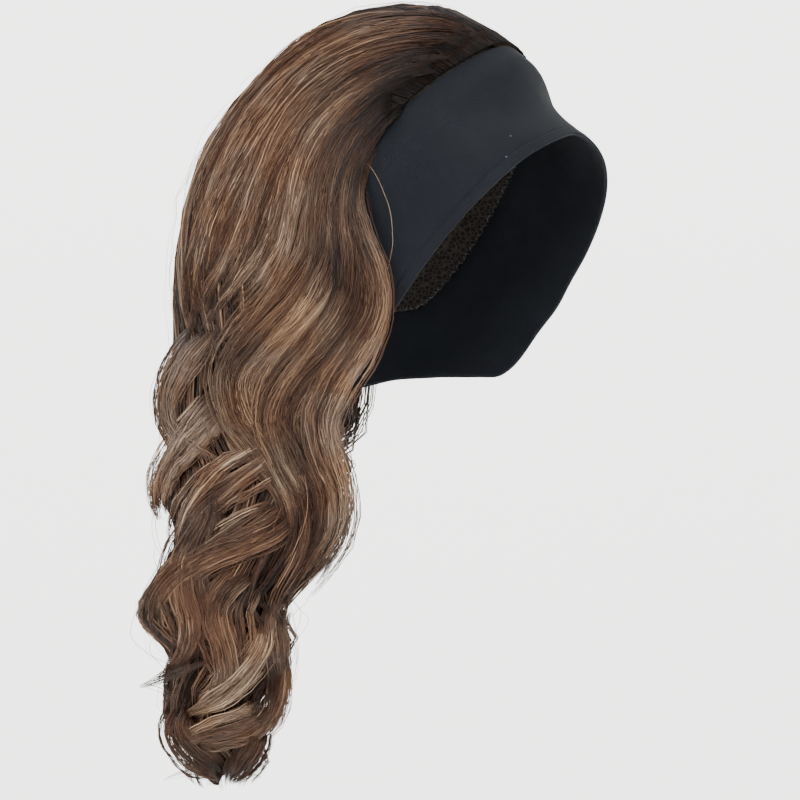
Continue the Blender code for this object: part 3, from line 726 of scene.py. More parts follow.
def lay_guides(across, depth, first, last, tone, steps, rng, wander=0.02, sink=0.03, late=0.012):
    """Guide lines through the hair, one for each place across it, from stage first to stage last."""
    count = len(across)
    share = np.linspace(0, 1, steps)[None, :]
    stage = first[:, None] + (last - first)[:, None] * share
    turn = rng.uniform(0, 2 * math.pi, (2, count, 1))
    fine = rng.uniform(0.5, 1.6, (2, count, 1))
    places = across[:, None] + wander * np.sin(turn[0] + fine[0] * stage * 0.7) * np.clip(stage / 4, 0.1, 1)
    depths = depth[:, None] + sink * np.sin(turn[1] + fine[1] * stage)
    # Close to the cap at the roots, and drawn in towards the tips
    depths = depths * np.clip(stage / 0.8, 0.15, 1) * np.interp(stage, [9, 11, 14], [1, 0.93, 0.86])
    own_late = late * rng.normal(0, 1, (count, 1)) * np.ones((1, steps))
    swing = rng.uniform(0.8, 1.15, (count, 1)) * np.ones((1, steps))
    point, sideways, outward = hair_point(
        places.reshape(-1), depths.reshape(-1), stage.reshape(-1), own_late.reshape(-1), swing.reshape(-1)
    )
    point = point.reshape(count, steps, 3)
    x, y, towards = seen_at(point)
    # Strands near the outside, under the shown locks, get painted shade (most at the roots and low down) and the
    # patches' painted shade and highlight
    near = np.clip((towards - near_at(x, y) + 0.030) / 0.012, 0, 1)
    tone_and_painted_light, _ = tone_and_painted_light_at(x, y)
    step = np.linalg.norm(np.diff(point, axis=1), axis=-1)
    length = np.concatenate([np.zeros((count, 1)), np.cumsum(step, axis=1)], axis=1)
    return {
        "point": point,
        "sideways": sideways.reshape(count, steps, 3),
        "outward": outward.reshape(count, steps, 3),
        "length": length,
        "share": np.clip(stage / 14, 0, 1),
        "tone": np.repeat(tone[:, None], steps, 1) + near * (tone_and_painted_light - np.interp(stage, [0.8, 1.8, 3.5, 6], [0.34, 0.16, 0.20, 0.34])),
        "spread": np.interp(share, [0, 0.12, 0.7, 1.0], [0.5, 1.0, 1.0, 0.25]),
        "thick": np.interp(share, [0, 0.05, 0.8, 1.0], [0.6, 1.0, 1.0, 0.15]),
        "loose": np.interp(share, [0, 0.1, 0.6, 1.0], [0.1, 0.6, 1.0, 1.6]),
    }


# %% [markdown]
# ## The body of the hair
# Under the strands that catch the light there is a mass of hair in shade that nobody sees one by one.
# Broad closed locks stand for it, coloured near black as painted shade, so that no gap between
# strands shows the inside of the wig.

# %% Core locks
CORE_SECTION = np.array([
    (-0.94, 0.0), (-0.5, 0.0), (0, 0.0), (0.5, 0.0), (0.94, 0.0), (1.0, 0.75),
    (0.72, 0.96), (0.3, 1.0), (-0.3, 1.0), (-0.72, 0.96), (-1.0, 0.75),
])


def core_lock(at, half, first, last, low, high, rings=56):
    """Points and faces of one closed lock, low and high being depths at each ring."""
    stages = np.linspace(first, last, rings)
    share = np.linspace(0, 1, rings)
    size = np.interp(share, [0, 0.86, 0.96, 1], [1, 1, 0.8, 0.2])
    rise = np.clip(stages / 0.8, 0.12, 1) if first == 0 else np.ones(rings)
    sides = len(CORE_SECTION)
    low = np.interp(stages, *low)
    high = np.interp(stages, *high) * rise
    low = np.minimum(low, high * 0.5)
    middle, thick = (low + high) / 2, (high - low) / 2 * size
    across = at + (half * size)[:, None] * CORE_SECTION[:, 0]
    depth = (middle - thick)[:, None] + 2 * thick[:, None] * CORE_SECTION[:, 1]
    stage = np.repeat(stages[:, None], sides, 1)
    points, _, _ = hair_point(across.reshape(-1), depth.reshape(-1), stage.reshape(-1))
    faces = []
    for i in range(rings - 1):
        for j in range(sides):
            k = (j + 1) % sides
            a, b = i * sides, (i + 1) * sides
            faces.append((a + j, b + j, b + k, a + k))
    faces.append(tuple(range(sides)))
    faces.append(tuple(reversed(range((rings - 1) * sides, rings * sides))))
    return points, faces, np.repeat(stages / 14, sides)


def core_piece(name, rows, look, low, high):
    points, faces, shares = [], [], []
    for at, half, first, ends in rows:
        made = core_lock(at, half, first, float(stage_of_down(ends)), low, high)
        start = sum(len(p) for p in points)
        points.append(made[0])
        faces += [tuple(start + i for i in face) for face in made[1]]
        shares.append(made[2])
    obj = mesh_piece(name, np.concatenate(points), faces, look)
    shares = np.concatenate(shares)
    obj.data.attributes.new("share", "FLOAT", "POINT").data.foreach_set("value", shares.astype(np.float32))
    shell = bmesh.new()
    shell.from_mesh(obj.data)
    bmesh.ops.recalc_face_normals(shell, faces=shell.faces)
    shell.to_mesh(obj.data)
    shell.free()
    obj.data.shade_smooth()
    return obj


# Near black: painted shade for the hair inside the body, which light hardly reaches
painted_shade_core_look, core_tree, core_shader = new_material("hair_mass_painted_shade", (0.0058, 0.0031, 0.0020), 0.9)
core_shader.inputs["Specular IOR Level"].default_value = 0.03
OUTER_LOW = ([0, 3, 5, 14], [0.05, 0.05, 0.42, 0.42])
OUTER_HIGH = ([0, 1, 5, 8, 14], [0.80, 0.88, 0.89, 0.86, 0.84])
right_core = core_piece(
    "right_hair_mass", [(-0.80, 0.12, 0, 0.96), (-0.61, 0.13, 0, 0.985), (-0.41, 0.12, 0, 0.95)],
    painted_shade_core_look, OUTER_LOW, OUTER_HIGH,
)
crown_core = core_piece(
    "crown_hair_mass", [(-0.22, 0.13, 0, 0.95), (0.0, 0.13, 0, 0.98), (0.22, 0.13, 0, 0.96)],
    painted_shade_core_look, OUTER_LOW, OUTER_HIGH,
)
left_core = core_piece(
    "left_hair_mass", [(0.41, 0.12, 0, 0.88), (0.61, 0.13, 0, 0.95), (0.80, 0.11, 0, 0.90)],
    painted_shade_core_look, OUTER_LOW, OUTER_HIGH,
)
under_core = core_piece(
    "under_hair_mass", [(-0.68, 0.18, 4.4, 0.98), (-0.32, 0.21, 4.4, 0.94), (0.1, 0.21, 4.4, 0.96), (0.48, 0.17, 4.4, 0.92)],
    painted_shade_core_look, ([4, 14], [0.0, 0.0]), ([4.4, 5.4, 14], [0.12, 0.34, 0.34]),
)


# %% Strands of each section
def tones(count, rng):
    """Most locks are brown, every fourth or so is ash or gold."""
    base = rng.normal(0.48, 0.10, count)
    pale = rng.random(count) < 0.24
    return np.where(pale, rng.uniform(0.68, 0.92, count), base)


def strand_group(name, low, high, count, seed, look, first=0.0, depths=(0.80, 1.02), steps=46, **settings):
    rng = np.random.default_rng(seed)
    across = np.linspace(low, high, count) + rng.uniform(-0.5, 0.5, count) * (high - low) / count
    across = np.clip(across, low, high)
    depth = rng.uniform(*depths, count)
    ends = stage_of_down(rng.uniform(0.78, 1.0, count) ** 0.7)
    guides = lay_guides(across, depth, np.full(count, first), ends, tones(count, rng), steps, rng)
    return grown(name, guides, look, **settings)


SETTINGS = {
    "Lock spread": 0.0034, "Stray": 0.0008, "Strand radius": 0.00030,
    "Tone spread": 0.10, "Pale share": 0.16, "Pale lift": 0.18,
}
right_strands = [
    strand_group(f"right_hair_{i}", low, high, 15, 10 + i, hair_look, depths=(0.84, 0.94), steps=32, **{"Strands a lock": 9, "Seed": 40 + i, **SETTINGS})
    for i, (low, high) in enumerate([(-0.93, -0.64), (-0.64, -0.34)])
]
crown_strands = [
    strand_group(f"crown_hair_{i}", low, high, 28, 20 + i, hair_look, depths=(0.87, 0.94), steps=32, **{"Strands a lock": 10, "Seed": 50 + i, **SETTINGS})
    for i, (low, high) in enumerate([(-0.34, 0.0), (0.0, 0.34)])
]
left_strands = [
    strand_group("left_hair_0", 0.34, 0.93, 44, 30, hair_look, depths=(0.87, 0.96), steps=32, **{"Strands a lock": 10, "Seed": 60, **SETTINGS})
]

# %% Strands on the inside of the hair
inner_strands = [
    strand_group(f"{side}_hair_inside", low, high, 15, seed, shaded_under_look, first=1.2, depths=(0.0, 0.05), steps=24, **{"Strands a lock": 9, "Seed": seed, **SETTINGS})
    for side, low, high, seed in [("right", -0.88, -0.34, 41), ("left", 0.34, 0.90, 61)]
]

# %% Strands of the under hair
under_rng = np.random.default_rng(33)
UNDER_GUIDES = 34
under_across = np.linspace(-0.86, 0.62, UNDER_GUIDES) + under_rng.uniform(-0.02, 0.02, UNDER_GUIDES)
under_guides = lay_guides(
    under_across, under_rng.uniform(0.02, 0.12, UNDER_GUIDES), np.full(UNDER_GUIDES, 4.5),
    stage_of_down(under_rng.uniform(0.85, 1.0, UNDER_GUIDES)), under_rng.normal(0.40, 0.08, UNDER_GUIDES),
    26, under_rng,
)
under_guides["share"] = np.full_like(under_guides["share"], 0.5)
under_strands = grown(
    "under_hair_strands", under_guides, shaded_under_look, **{"Strands a lock": 8, "Seed": 33, **SETTINGS}
)

# %% The table of locks
# name, lift in mm, tone, and points of the line: x, y and half width in the view
LOCKS = (
    ("crown_1", 0.6, 0.46, ((505, 44, 3), (468, 29, 6), (420, 24, 9), (356, 34, 12), (301, 66, 15), (255, 118, 16), (222, 176, 16), (203, 233, 14), (195, 292, 11), (196, 345, 7))),
    ("crown_2", 1.0, 0.50, ((488, 48, 5), (440, 32, 10), (375, 42, 15), (312, 76, 19), (264, 130, 21), (233, 190, 22), (212, 245, 20), (196, 300, 15), (192, 350, 8))),
    ("crown_3", 1.4, 0.54, ((470, 55, 5), (420, 50, 11), (358, 70, 17), (306, 114, 21), (274, 170, 23), (256, 225, 22), (236, 272, 20), (210, 312, 14), (195, 352, 8))),
    ("crown_4", 1.8, 0.55, ((452, 64, 5), (400, 72, 11), (345, 104, 17), (312, 150, 21), (296, 205, 22), (284, 250, 22), (256, 295, 21), (222, 328, 15), (200, 362, 10))),
    ("side_5", 3.0, 0.52, ((432, 80, 5), (388, 96, 11), (350, 130, 15), (329, 172, 18), (321, 215, 19), (315, 258, 20), (292, 300, 22), (258, 338, 20), (234, 374, 17), (238, 412, 15), (264, 450, 14), (290, 490, 12), (298, 530, 12), (284, 572, 12), (256, 604, 10))),
    ("side_6", 3.4, 0.50, ((408, 100, 5), (380, 122, 8), (358, 150, 10), (344, 185, 12), (341, 225, 14), (346, 262, 16), (342, 300, 19), (316, 342, 21), (284, 380, 20), (270, 418, 18), (284, 460, 17), (304, 500, 16), (306, 540, 15), (286, 580, 13), (266, 612, 9))),
    ("edge_7", 3.0, 0.53, ((390, 118, 3), (368, 145, 6), (356, 172, 7), (353, 205, 8), (362, 240, 10), (373, 275, 11), (374, 310, 12), (358, 346, 15), (334, 382, 17), (318, 418, 17), (324, 455, 16), (336, 490, 14), (336, 530, 14), (316, 568, 14), (294, 602, 11), (284, 632, 7))),
    ("left_8", 2.5, 0.46, ((214, 322, 8), (190, 352, 10), (174, 382, 10), (168, 410, 9), (176, 436, 9), (200, 456, 9), (226, 474, 6))),
    ("left_9", 3.0, 0.50, ((232, 388, 10), (206, 420, 14), (182, 450, 13), (166, 478, 10), (162, 506, 8), (172, 530, 5))),
    ("mid_10", 2.4, 0.54, ((292, 436, 8), (262, 458, 14), (228, 480, 16), (198, 508, 13), (182, 540, 9), (186, 566, 5))),
    ("mid_11", 3.0, 0.51, ((300, 498, 8), (272, 522, 14), (236, 542, 15), (200, 562, 14), (168, 586, 12), (154, 612, 9), (162, 640, 6))),
    ("left_12", 2.0, 0.42, ((196, 456, 8), (210, 490, 10), (206, 524, 11), (190, 556, 12), (186, 590, 14), (192, 624, 14), (184, 654, 10), (164, 676, 5), (144, 686, 2))),
    ("mid_13", 2.5, 0.47, ((268, 566, 8), (240, 584, 14), (222, 612, 17), (228, 648, 16), (230, 680, 13), (212, 706, 10), (188, 722, 6))),
    ("gold_14", 3.6, 0.70, ((268, 606, 5), (266, 636, 8), (252, 664, 10), (226, 688, 11), (198, 706, 9), (176, 720, 5))),
    ("right_15", 2.5, 0.48, ((292, 590, 7), (276, 616, 9), (276, 650, 10), (280, 684, 10), (272, 716, 10), (250, 742, 9), (232, 766, 6))),
    ("low_16", 3.5, 0.50, ((276, 700, 7), (248, 722, 11), (214, 732, 10), (188, 742, 7), (184, 760, 5))),
    ("tip_17", 2.5, 0.38, ((190, 706, 8), (180, 730, 10), (196, 752, 12), (220, 770, 10), (226, 784, 4))),
    ("tip_18", 2.5, 0.36, ((262, 726, 8), (252, 750, 10), (236, 770, 8), (222, 786, 4))),
)
PART_WIDTH, LOOSE_SHARE = 2.6, 0.22


def smooth_line(points, count=400):
    """A smooth line through the points of a table row, evenly stepped."""
    points = np.array(points, float)
    stage = np.linspace(0, len(points) - 1, count)
    fine = catmull(np.repeat(points[:, None, :], count, 1), stage)
    length = np.concatenate([[0], np.cumsum(np.linalg.norm(np.diff(fine[:, :2], axis=0), axis=1))])
    return fine, length


def lay_lock(row, density, rng, steps=30, wider=1.0, higher=0.0):
    """Guides that follow one lock of the table, side by side across its width."""
    name, lift, tone, points = row
    rooted = name.startswith(("crown", "side", "edge"))
    fine, length = smooth_line(points)
    width = float(fine[:, 2].mean())
    count = max(3, round(width * density))
    side = wider * np.linspace(-1, 1, count) + rng.uniform(-0.5, 0.5, count) * 2 / count
    # The lock parts into smaller ones, each with a tone, a lift and a sway of its own
    parts = max(2, round(width / PART_WIDTH))
    part = np.clip(((side / wider + 1) / 2 * parts).astype(int), 0, parts - 1)
    part_middle = (part + 0.5) / parts * 2 - 1
    part_tone = rng.normal(-0.03, 0.09, parts)[part][:, None]
    part_lift = rng.normal(0, 0.7, parts)[part][:, None]
    part_turn = rng.uniform(0, 2 * math.pi, parts)[part][:, None]
    part_begins, part_stops = rng.uniform(0, 0.10, parts)[part], 1 - rng.uniform(0, 0.16, parts)[part]
    begins, stops = part_begins + rng.uniform(0, 0.07, count), part_stops - rng.uniform(0, 0.09, count)
    share = np.linspace(0, 1, steps)[None, :]
    at = (begins[:, None] + (stops - begins)[:, None] * share) * length[-1]
    x, y, half = (np.interp(at, length, fine[:, i]) for i in range(3))
    ahead = np.stack([np.interp(at + 2, length, fine[:, i]) - np.interp(at - 2, length, fine[:, i]) for i in (0, 1)], -1)
    ahead /= np.linalg.norm(ahead, axis=-1)[..., None] + 1e-9
    turn = rng.uniform(0, 2 * math.pi, (count, 1))
    closing = 0.55 * np.clip((share - 0.75) / 0.25, 0, 1)
    drift = side[:, None] * (1 - closing) + part_middle[:, None] * closing
    drift = drift + 0.10 * np.sin(turn + share * rng.uniform(1, 4, (count, 1)))
    drift = drift + 0.22 * np.sin(part_turn + share * length[-1] / 38) * (0.4 if rooted else 1.0)
    x = x - ahead[..., 1] * half * drift
    y = y + ahead[..., 0] * half * drift
    crown_of = np.sqrt(np.clip(1 - 0.85 * drift**2, 0.02, 1))
    start = np.clip(share / (0.03 if rooted else 0.18), 0, 1)
    dive = np.minimum(start, np.clip((1 - share) / 0.20, 0, 1)) ** 0.7
    own = rng.normal(0, 0.35, (count, 1))
    tone_and_painted_light, patch_lift = tone_and_painted_light_at(x, y)
    towards = near_at(x, y) + 0.001 * (
        (lift + part_lift + higher) * crown_of * dive + own + patch_lift - 5.5 * (1 - dive)
    )
    point = placed(x, y, towards)
    step = np.linalg.norm(np.diff(point, axis=1), axis=-1)
    run = np.concatenate([np.zeros((count, 1)), np.cumsum(step, axis=1)], axis=1)
    way = np.gradient(point, axis=1)
    sideways = np.cross(way, CAMERA_WAY)
    sideways /= np.linalg.norm(sideways, axis=-1)[..., None] + 1e-9
    ones = np.ones((count, steps))
    # The ends of a lock go down between its neighbours and are painted darker there as shade; the patches add
    # painted shade and highlight
    tones_here = tone + part_tone + rng.normal(0, 0.04, (count, 1)) + tone_and_painted_light - 0.32 * (1 - dive)
    return {
        "point": point, "sideways": sideways, "outward": np.broadcast_to(CAMERA_WAY, point.shape).copy(),
        "length": run, "tone": tones_here,
        "share": ones * (at / length[-1] * 0.4 if rooted else 0.5),
        "spread": ones * np.interp(share, [0, 0.1, 0.8, 1.0], [0.6, 1.0, 1.0, 0.4]),
        "thick": ones * np.interp(share, [0, 0.06, 0.85, 1.0], [0.35, 1.0, 1.0, 0.15]),
        "loose": ones * np.interp(share, [0, 0.2, 0.8, 1.0], [0.4, 0.8, 1.0, 1.5]),
    }


def joined(parts):
    return {key: np.concatenate([part[key] for part in parts]) for key in parts[0]}


def shown_locks(name, rows, density, seed, look, steps=30, **settings):
    rng = np.random.default_rng(seed)
    laid = [lay_lock(row, density, rng, steps) for row in rows]
    for row in rows:
        # Nothing may hang off the outline at the crown, where the hair lies close
        wider = 1.1 if row[0].startswith("crown") else 1.45
        laid.append(lay_lock(row, density * LOOSE_SHARE, rng, steps, wider=wider, higher=0.6))
    return grown(name, joined(laid), look, **settings)


NEAR_SETTINGS = {
    "Strands a lock": 11, "Lock spread": 0.0019, "Stray": 0.0008, "Strand radius": 0.00023,
    "Tone spread": 0.14, "Pale share": 0.18, "Pale lift": 0.18,
}
crown_locks = shown_locks("crown_locks", LOCKS[:4], 1.45, 71, hair_look, 26, **NEAR_SETTINGS, Seed=71)
side_locks = shown_locks("side_locks", LOCKS[4:7], 1.4, 72, hair_look, 40, **NEAR_SETTINGS, Seed=72)
tail_locks = [
    shown_locks("tail_locks_high", LOCKS[7:13], 1.5, 73, hair_look, 18, **NEAR_SETTINGS, Seed=73),
    shown_locks("tail_locks_low", LOCKS[13:], 1.5, 74, hair_look, 18, **NEAR_SETTINGS, Seed=74),
]

# %% [markdown]
# ## Stray hairs
# A worn wig always sheds a few hairs from its locks: loops at the outline, wisps at the tips, and
# one pale hair that has blown over the band. They are single strands on lines of their own.

# %% Lines of the stray hairs
band_round, band_share = np.meshgrid(np.arange(-150.0, 0.0, 1.0), np.linspace(0, 1, 60), indexing="ij")
band_out = np.interp(band_round, whole_round, rear_edge)
band_out = band_out + (band_front(band_round) - band_out) * band_share
band_outside = head_point(band_round.reshape(-1), band_out.reshape(-1), BAND_WALL + 0.0006)
NEAR_ALL = near_side(np.concatenate([hair_outside, band_outside]))
# tone, radius in mm, lift in mm, hairs in the bunch, and the line in the view
STRAYS = (
    (0.95, 0.11, 1.0, 1, ((352, 150), (366, 162), (380, 184), (388, 207), (392, 235), (389, 262), (380, 286))),
    (0.30, 0.12, 0.8, 3, ((358, 158), (360, 178), (366, 200), (372, 222))),
    (0.35, 0.14, 1.0, 2, ((168, 452), (152, 466), (145, 484), (149, 503), (164, 519), (176, 526))),
    (0.35, 0.13, 2.0, 1, ((176, 446), (158, 458), (150, 474), (152, 492), (166, 506))),
    (0.30, 0.14, 1.0, 2, ((166, 500), (157, 522), (161, 548), (174, 570), (194, 584))),
    (0.80, 0.12, 2.5, 1, ((304, 474), (307, 503), (301, 534), (285, 564))),
    (0.85, 0.12, 3.0, 1, ((332, 436), (345, 462), (350, 492), (343, 524), (330, 548))),
    (0.70, 0.10, 1.0, 3, ((284, 606), (294, 634), (297, 662), (290, 692), (274, 720))),
    (0.75, 0.10, 1.0, 2, ((290, 600), (299, 640), (298, 676), (288, 704))),
    (0.10, 0.20, 2.0, 8, ((208, 662), (184, 672), (162, 681), (141, 687))),
    (0.25, 0.11, 2.0, 3, ((146, 686), (160, 690), (174, 698), (184, 712))),
    (0.55, 0.11, 1.0, 6, ((200, 764), (186, 771), (174, 775), (164, 780))),
    (0.45, 0.11, 1.0, 7, ((232, 762), (244, 771), (254, 776), (263, 778))),
    (0.60, 0.10, 1.0, 4, ((244, 108), (218, 134), (201, 158), (190, 184), (184, 210))),
    (0.50, 0.10, 1.0, 3, ((268, 76), (236, 108), (211, 144), (196, 172))),
    (0.40, 0.11, 1.0, 3, ((182, 340), (167, 362), (157, 388), (156, 414), (166, 436))),
    (0.40, 0.11, 1.0, 3, ((160, 566), (146, 592), (143, 616), (152, 640))),
)


def lay_stray(row, rng, steps=26):
    tone, radius, lift, hairs, line = row
    fine, length = smooth_line([(x, y, 0) for x, y in line])
    at = np.linspace(0, length[-1], steps)[None, :]
    shift = rng.normal(0, 2.2 if hairs > 1 else 0, (2, hairs, 1)) * np.sin(np.linspace(0.4, 2.9, steps))
    x = np.interp(at, length, fine[:, 0]) + shift[0]
    y = np.interp(at, length, fine[:, 1]) + shift[1]
    towards = near_at(x, y, NEAR_ALL) + 0.001 * lift
    point = placed(x, y, towards)
    ones = np.ones((hairs, steps))
    zero = np.zeros((hairs, steps, 3))
    return {
        "point": point, "sideways": zero, "outward": zero, "length": ones * at / VIEW_SCALE,
        "tone": ones * tone, "share": ones * 0.5, "spread": ones,
        "thick": ones * radius * np.interp(np.linspace(0, 1, steps), [0, 0.05, 0.7, 1], [0.5, 1, 1, 0.3]),
        "loose": ones,
    }


stray_rng = np.random.default_rng(5)
SINGLE = {"Strands a lock": 1, "Lock spread": 0.0, "Stray": 0.0003, "Tone spread": 0.06, "Pale share": 0.0}
stray_hairs = grown(
    "stray_hairs", joined([lay_stray(row, stray_rng) for row in STRAYS]), hair_look,
    **SINGLE, **{"Strand radius": 0.001, "Seed": 5},
)

# %% Flyaways
FLYAWAYS = 70
fly_across = stray_rng.uniform(-0.95, 0.95, FLYAWAYS)
fly_first = stray_rng.uniform(0.3, 9.0, FLYAWAYS)
fly_guides = lay_guides(
    fly_across, stray_rng.uniform(1.01, 1.07, FLYAWAYS), fly_first,
    np.minimum(fly_first + stray_rng.uniform(2.0, 5.0, FLYAWAYS), 14.0),
    stray_rng.uniform(0.4, 0.8, FLYAWAYS), 30, stray_rng, wander=0.05, sink=0.03, late=0.04,
)
flyaways = grown(
    "flyaways", fly_guides, hair_look, **{**SINGLE, "Stray": 0.0016, "Strand radius": 0.00013, "Seed": 6}
)

# %% [markdown]
# ## The headband
# The band is a tube of matt stretch jersey, its front edge turned under and stitched. Worn, it lies
# on the head in one smooth stretched sheet.

# %% Band fabric
band_look, band_tree, band_shader = new_material("band_jersey", roughness=0.9)
band_shader.inputs["Specular IOR Level"].default_value = 0.12
weave_map = node(band_tree, "ShaderNodeUVMap", uv_map="band_weave")
weave = node(band_tree, "ShaderNodeSeparateXYZ")
band_tree.links.new(weave_map.outputs["UV"], weave.inputs["Vector"])


def band_maths(operation, *sources):
    made = node(band_tree, "ShaderNodeMath", operation=operation)
    for i, source in enumerate(sources):
        if isinstance(source, (int, float)):
            made.inputs[i].default_value = source
        else:
            band_tree.links.new(source, made.inputs[i])
    return made.outputs["Value"]


# Columns of knit run across the band, 1.1 mm apart, and each stitch in them leans to both sides
WALE, COURSE = 0.0011, 0.0009
wale = band_maths("SINE", band_maths("MULTIPLY", weave.outputs["X"], 2 * math.pi / WALE))
lean = band_maths("MULTIPLY", band_maths("ABSOLUTE", wale), 0.35 * COURSE)
course = band_maths("ADD", weave.outputs["Y"], lean)
course = band_maths("SINE", band_maths("MULTIPLY", course, 2 * math.pi / COURSE))
knit = band_maths("ADD", band_maths("ABSOLUTE", wale), band_maths("MULTIPLY", course, 0.5))
knit_bump = node(band_tree, "ShaderNodeBump")
knit_bump.inputs["Strength"].default_value = 0.35
knit_bump.inputs["Distance"].default_value = 0.00025
band_tree.links.new(knit, knit_bump.inputs["Height"])
band_tree.links.new(knit_bump.outputs["Normal"], band_shader.inputs["Normal"])
band_place = node(band_tree, "ShaderNodeTexCoord")
mottle = node(band_tree, "ShaderNodeTexNoise", Scale=22.0, Detail=3.0)
band_tree.links.new(band_place.outputs["Object"], mottle.inputs["Vector"])
dye = ramp(band_tree, [(0.35, (0.0024, 0.0032, 0.0050)), (0.65, (0.0038, 0.0048, 0.0068))], mottle.outputs["Fac"])
lint = node(band_tree, "ShaderNodeTexVoronoi", Scale=130.0)
band_tree.links.new(band_place.outputs["Object"], lint.inputs["Vector"])
speck = band_maths("LESS_THAN", lint.outputs["Distance"], 0.045)
rare = node(band_tree, "ShaderNodeSeparateColor")
band_tree.links.new(lint.outputs["Color"], rare.inputs["Color"])
speck = band_maths("MULTIPLY", speck, band_maths("GREATER_THAN", rare.outputs["Red"], 0.93))
linted = node(band_tree, "ShaderNodeMix", data_type="RGBA")
linted.inputs["B"].default_value = (0.10, 0.11, 0.12, 1)
band_tree.links.new(speck, linted.inputs["Factor"])
band_tree.links.new(dye, linted.inputs["A"])
band_tree.links.new(linted.outputs["Result"], band_shader.inputs["Base Color"])

# %% Band sheet
ROUND_COUNT, ACROSS_COUNT = 216, 30
HEM_START, HEM_RISE, EDGE_ROUND = 0.905, 0.0005, 0.014
band_turns = np.linspace(-180, 180, ROUND_COUNT, endpoint=False)
band_rear = np.interp(band_turns, whole_round, rear_edge)
band_fore = band_front(band_turns)


def band_ridge(round_deg, share):
    front = np.cos(np.radians(round_deg) / 2) ** 8
    return BAND_RIDGE * front * np.exp(-(((share - 0.22) / 0.13) ** 2))


def ripple(round_deg, share):
    """Soft pulls in the stretched cloth, strongest at its front edge."""
    turn = np.radians(round_deg)
    return 0.0004 * share * (1 + np.sin(turn * 9 + 1.7 * np.sin(turn * 3 + 1)))


def band_layer(share, raised):
    outs = band_rear + (band_fore - band_rear) * share
    base = head_point(band_turns, outs)
    arms = base - HEAD_CENTRE
    arms /= np.linalg.norm(arms, axis=-1)[:, None]
    lift = band_ridge(band_turns, share) + ripple(band_turns, share) + raised
    return base + arms * lift[:, None]


def hem(share):
    """The turned edge stands a little proud, and its row of stitches pulls a groove."""
    step = np.clip((share - HEM_START) / 0.012, 0, 1)
    return HEM_RISE * step - 0.0003 * np.exp(-(((share - HEM_START) / 0.006) ** 2))


ring = [(share, BAND_WALL + hem(share)) for share in np.linspace(EDGE_ROUND, HEM_START - 0.03, ACROSS_COUNT)]
ring += [(share, BAND_WALL + hem(share)) for share in np.linspace(HEM_START - 0.02, 1 - EDGE_ROUND, 12)]
for turn in np.linspace(90, -90, 7)[1:-1]:
    rise = (BAND_WALL + HEM_RISE) / 2 * (1 + math.sin(math.radians(turn)))
    ring.append((1 - EDGE_ROUND + EDGE_ROUND * math.cos(math.radians(turn)), rise))
ring += [(share, 0.0) for share in np.linspace(1 - EDGE_ROUND, EDGE_ROUND, 8)]
for turn in np.linspace(-90, 90, 5)[1:-1]:
    ring.append((EDGE_ROUND - EDGE_ROUND * math.cos(math.radians(turn)), BAND_WALL / 2 * (1 + math.sin(math.radians(turn)))))
band_points = np.concatenate([band_layer(share, raised) for share, raised in ring])
band_faces = []
for i in range(len(ring)):
    a, b = i * ROUND_COUNT, (i + 1) % len(ring) * ROUND_COUNT
    for j in range(ROUND_COUNT):
        k = (j + 1) % ROUND_COUNT
        band_faces.append((a + j, a + k, b + k, b + j))
band = mesh_piece("headband_jersey", band_points, band_faces, band_look)
outer = np.stack([band_layer(share, BAND_WALL / 2) for share in np.linspace(0, 1, 13)])
closed = np.concatenate([outer, outer[:, :1]], axis=1)
band_loop = float(np.linalg.norm(np.diff(closed[6], axis=0), axis=-1).sum())
# The weave's map is in metres round the band and across it
weave_uv = band.data.uv_layers.new(name="band_weave")
corner_uv = []
for i in range(len(ring)):
    v, w = ring[i][0] * BAND_WIDTH, ring[(i + 1) % len(ring)][0] * BAND_WIDTH
    for j in range(ROUND_COUNT):
        near_u, far_u = (band_loop * t / ROUND_COUNT for t in (j, j + 1))
        corner_uv += [near_u, v, far_u, v, far_u, w, near_u, w]
weave_uv.data.foreach_set("uv", corner_uv)

# %% [markdown]
# ## The cap
# The cap inside is a plain net that the hair is sewn to. It hides under the hair, so its solid keeps
# its shape and only gets the look of the net.

# %% Cap net
cap_look, cap_tree, cap_shader = new_material("cap_net_weave", roughness=0.85)
cap_shader.inputs["Specular IOR Level"].default_value = 0.1
cap_place = node(cap_tree, "ShaderNodeTexCoord")
mesh_cells = node(cap_tree, "ShaderNodeTexVoronoi", feature="DISTANCE_TO_EDGE", Scale=420.0)
cap_tree.links.new(cap_place.outputs["Object"], mesh_cells.inputs["Vector"])
net_colour = ramp(
    cap_tree, [(0.05, (0.016, 0.013, 0.011)), (0.16, (0.004, 0.003, 0.003))], mesh_cells.outputs["Distance"]
)
cap_tree.links.new(net_colour, cap_shader.inputs["Base Color"])
net_bump = node(cap_tree, "ShaderNodeBump", invert=True)
net_bump.inputs["Strength"].default_value = 0.6
net_bump.inputs["Distance"].default_value = 0.0004
cap_tree.links.new(mesh_cells.outputs["Distance"], net_bump.inputs["Height"])
cap_tree.links.new(net_bump.outputs["Normal"], cap_shader.inputs["Normal"])
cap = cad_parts["wig_cap"]
cap.data.materials.clear()
cap.data.materials.append(cap_look)

# %% [markdown]
# The hair comes on wefts, long strips with the strands sewn into one edge, and the wefts are sewn
# round the cap in rows. From inside the cap they show as raised ribs, closed off by a row of
# zigzag stitches that joins the cap to the band.

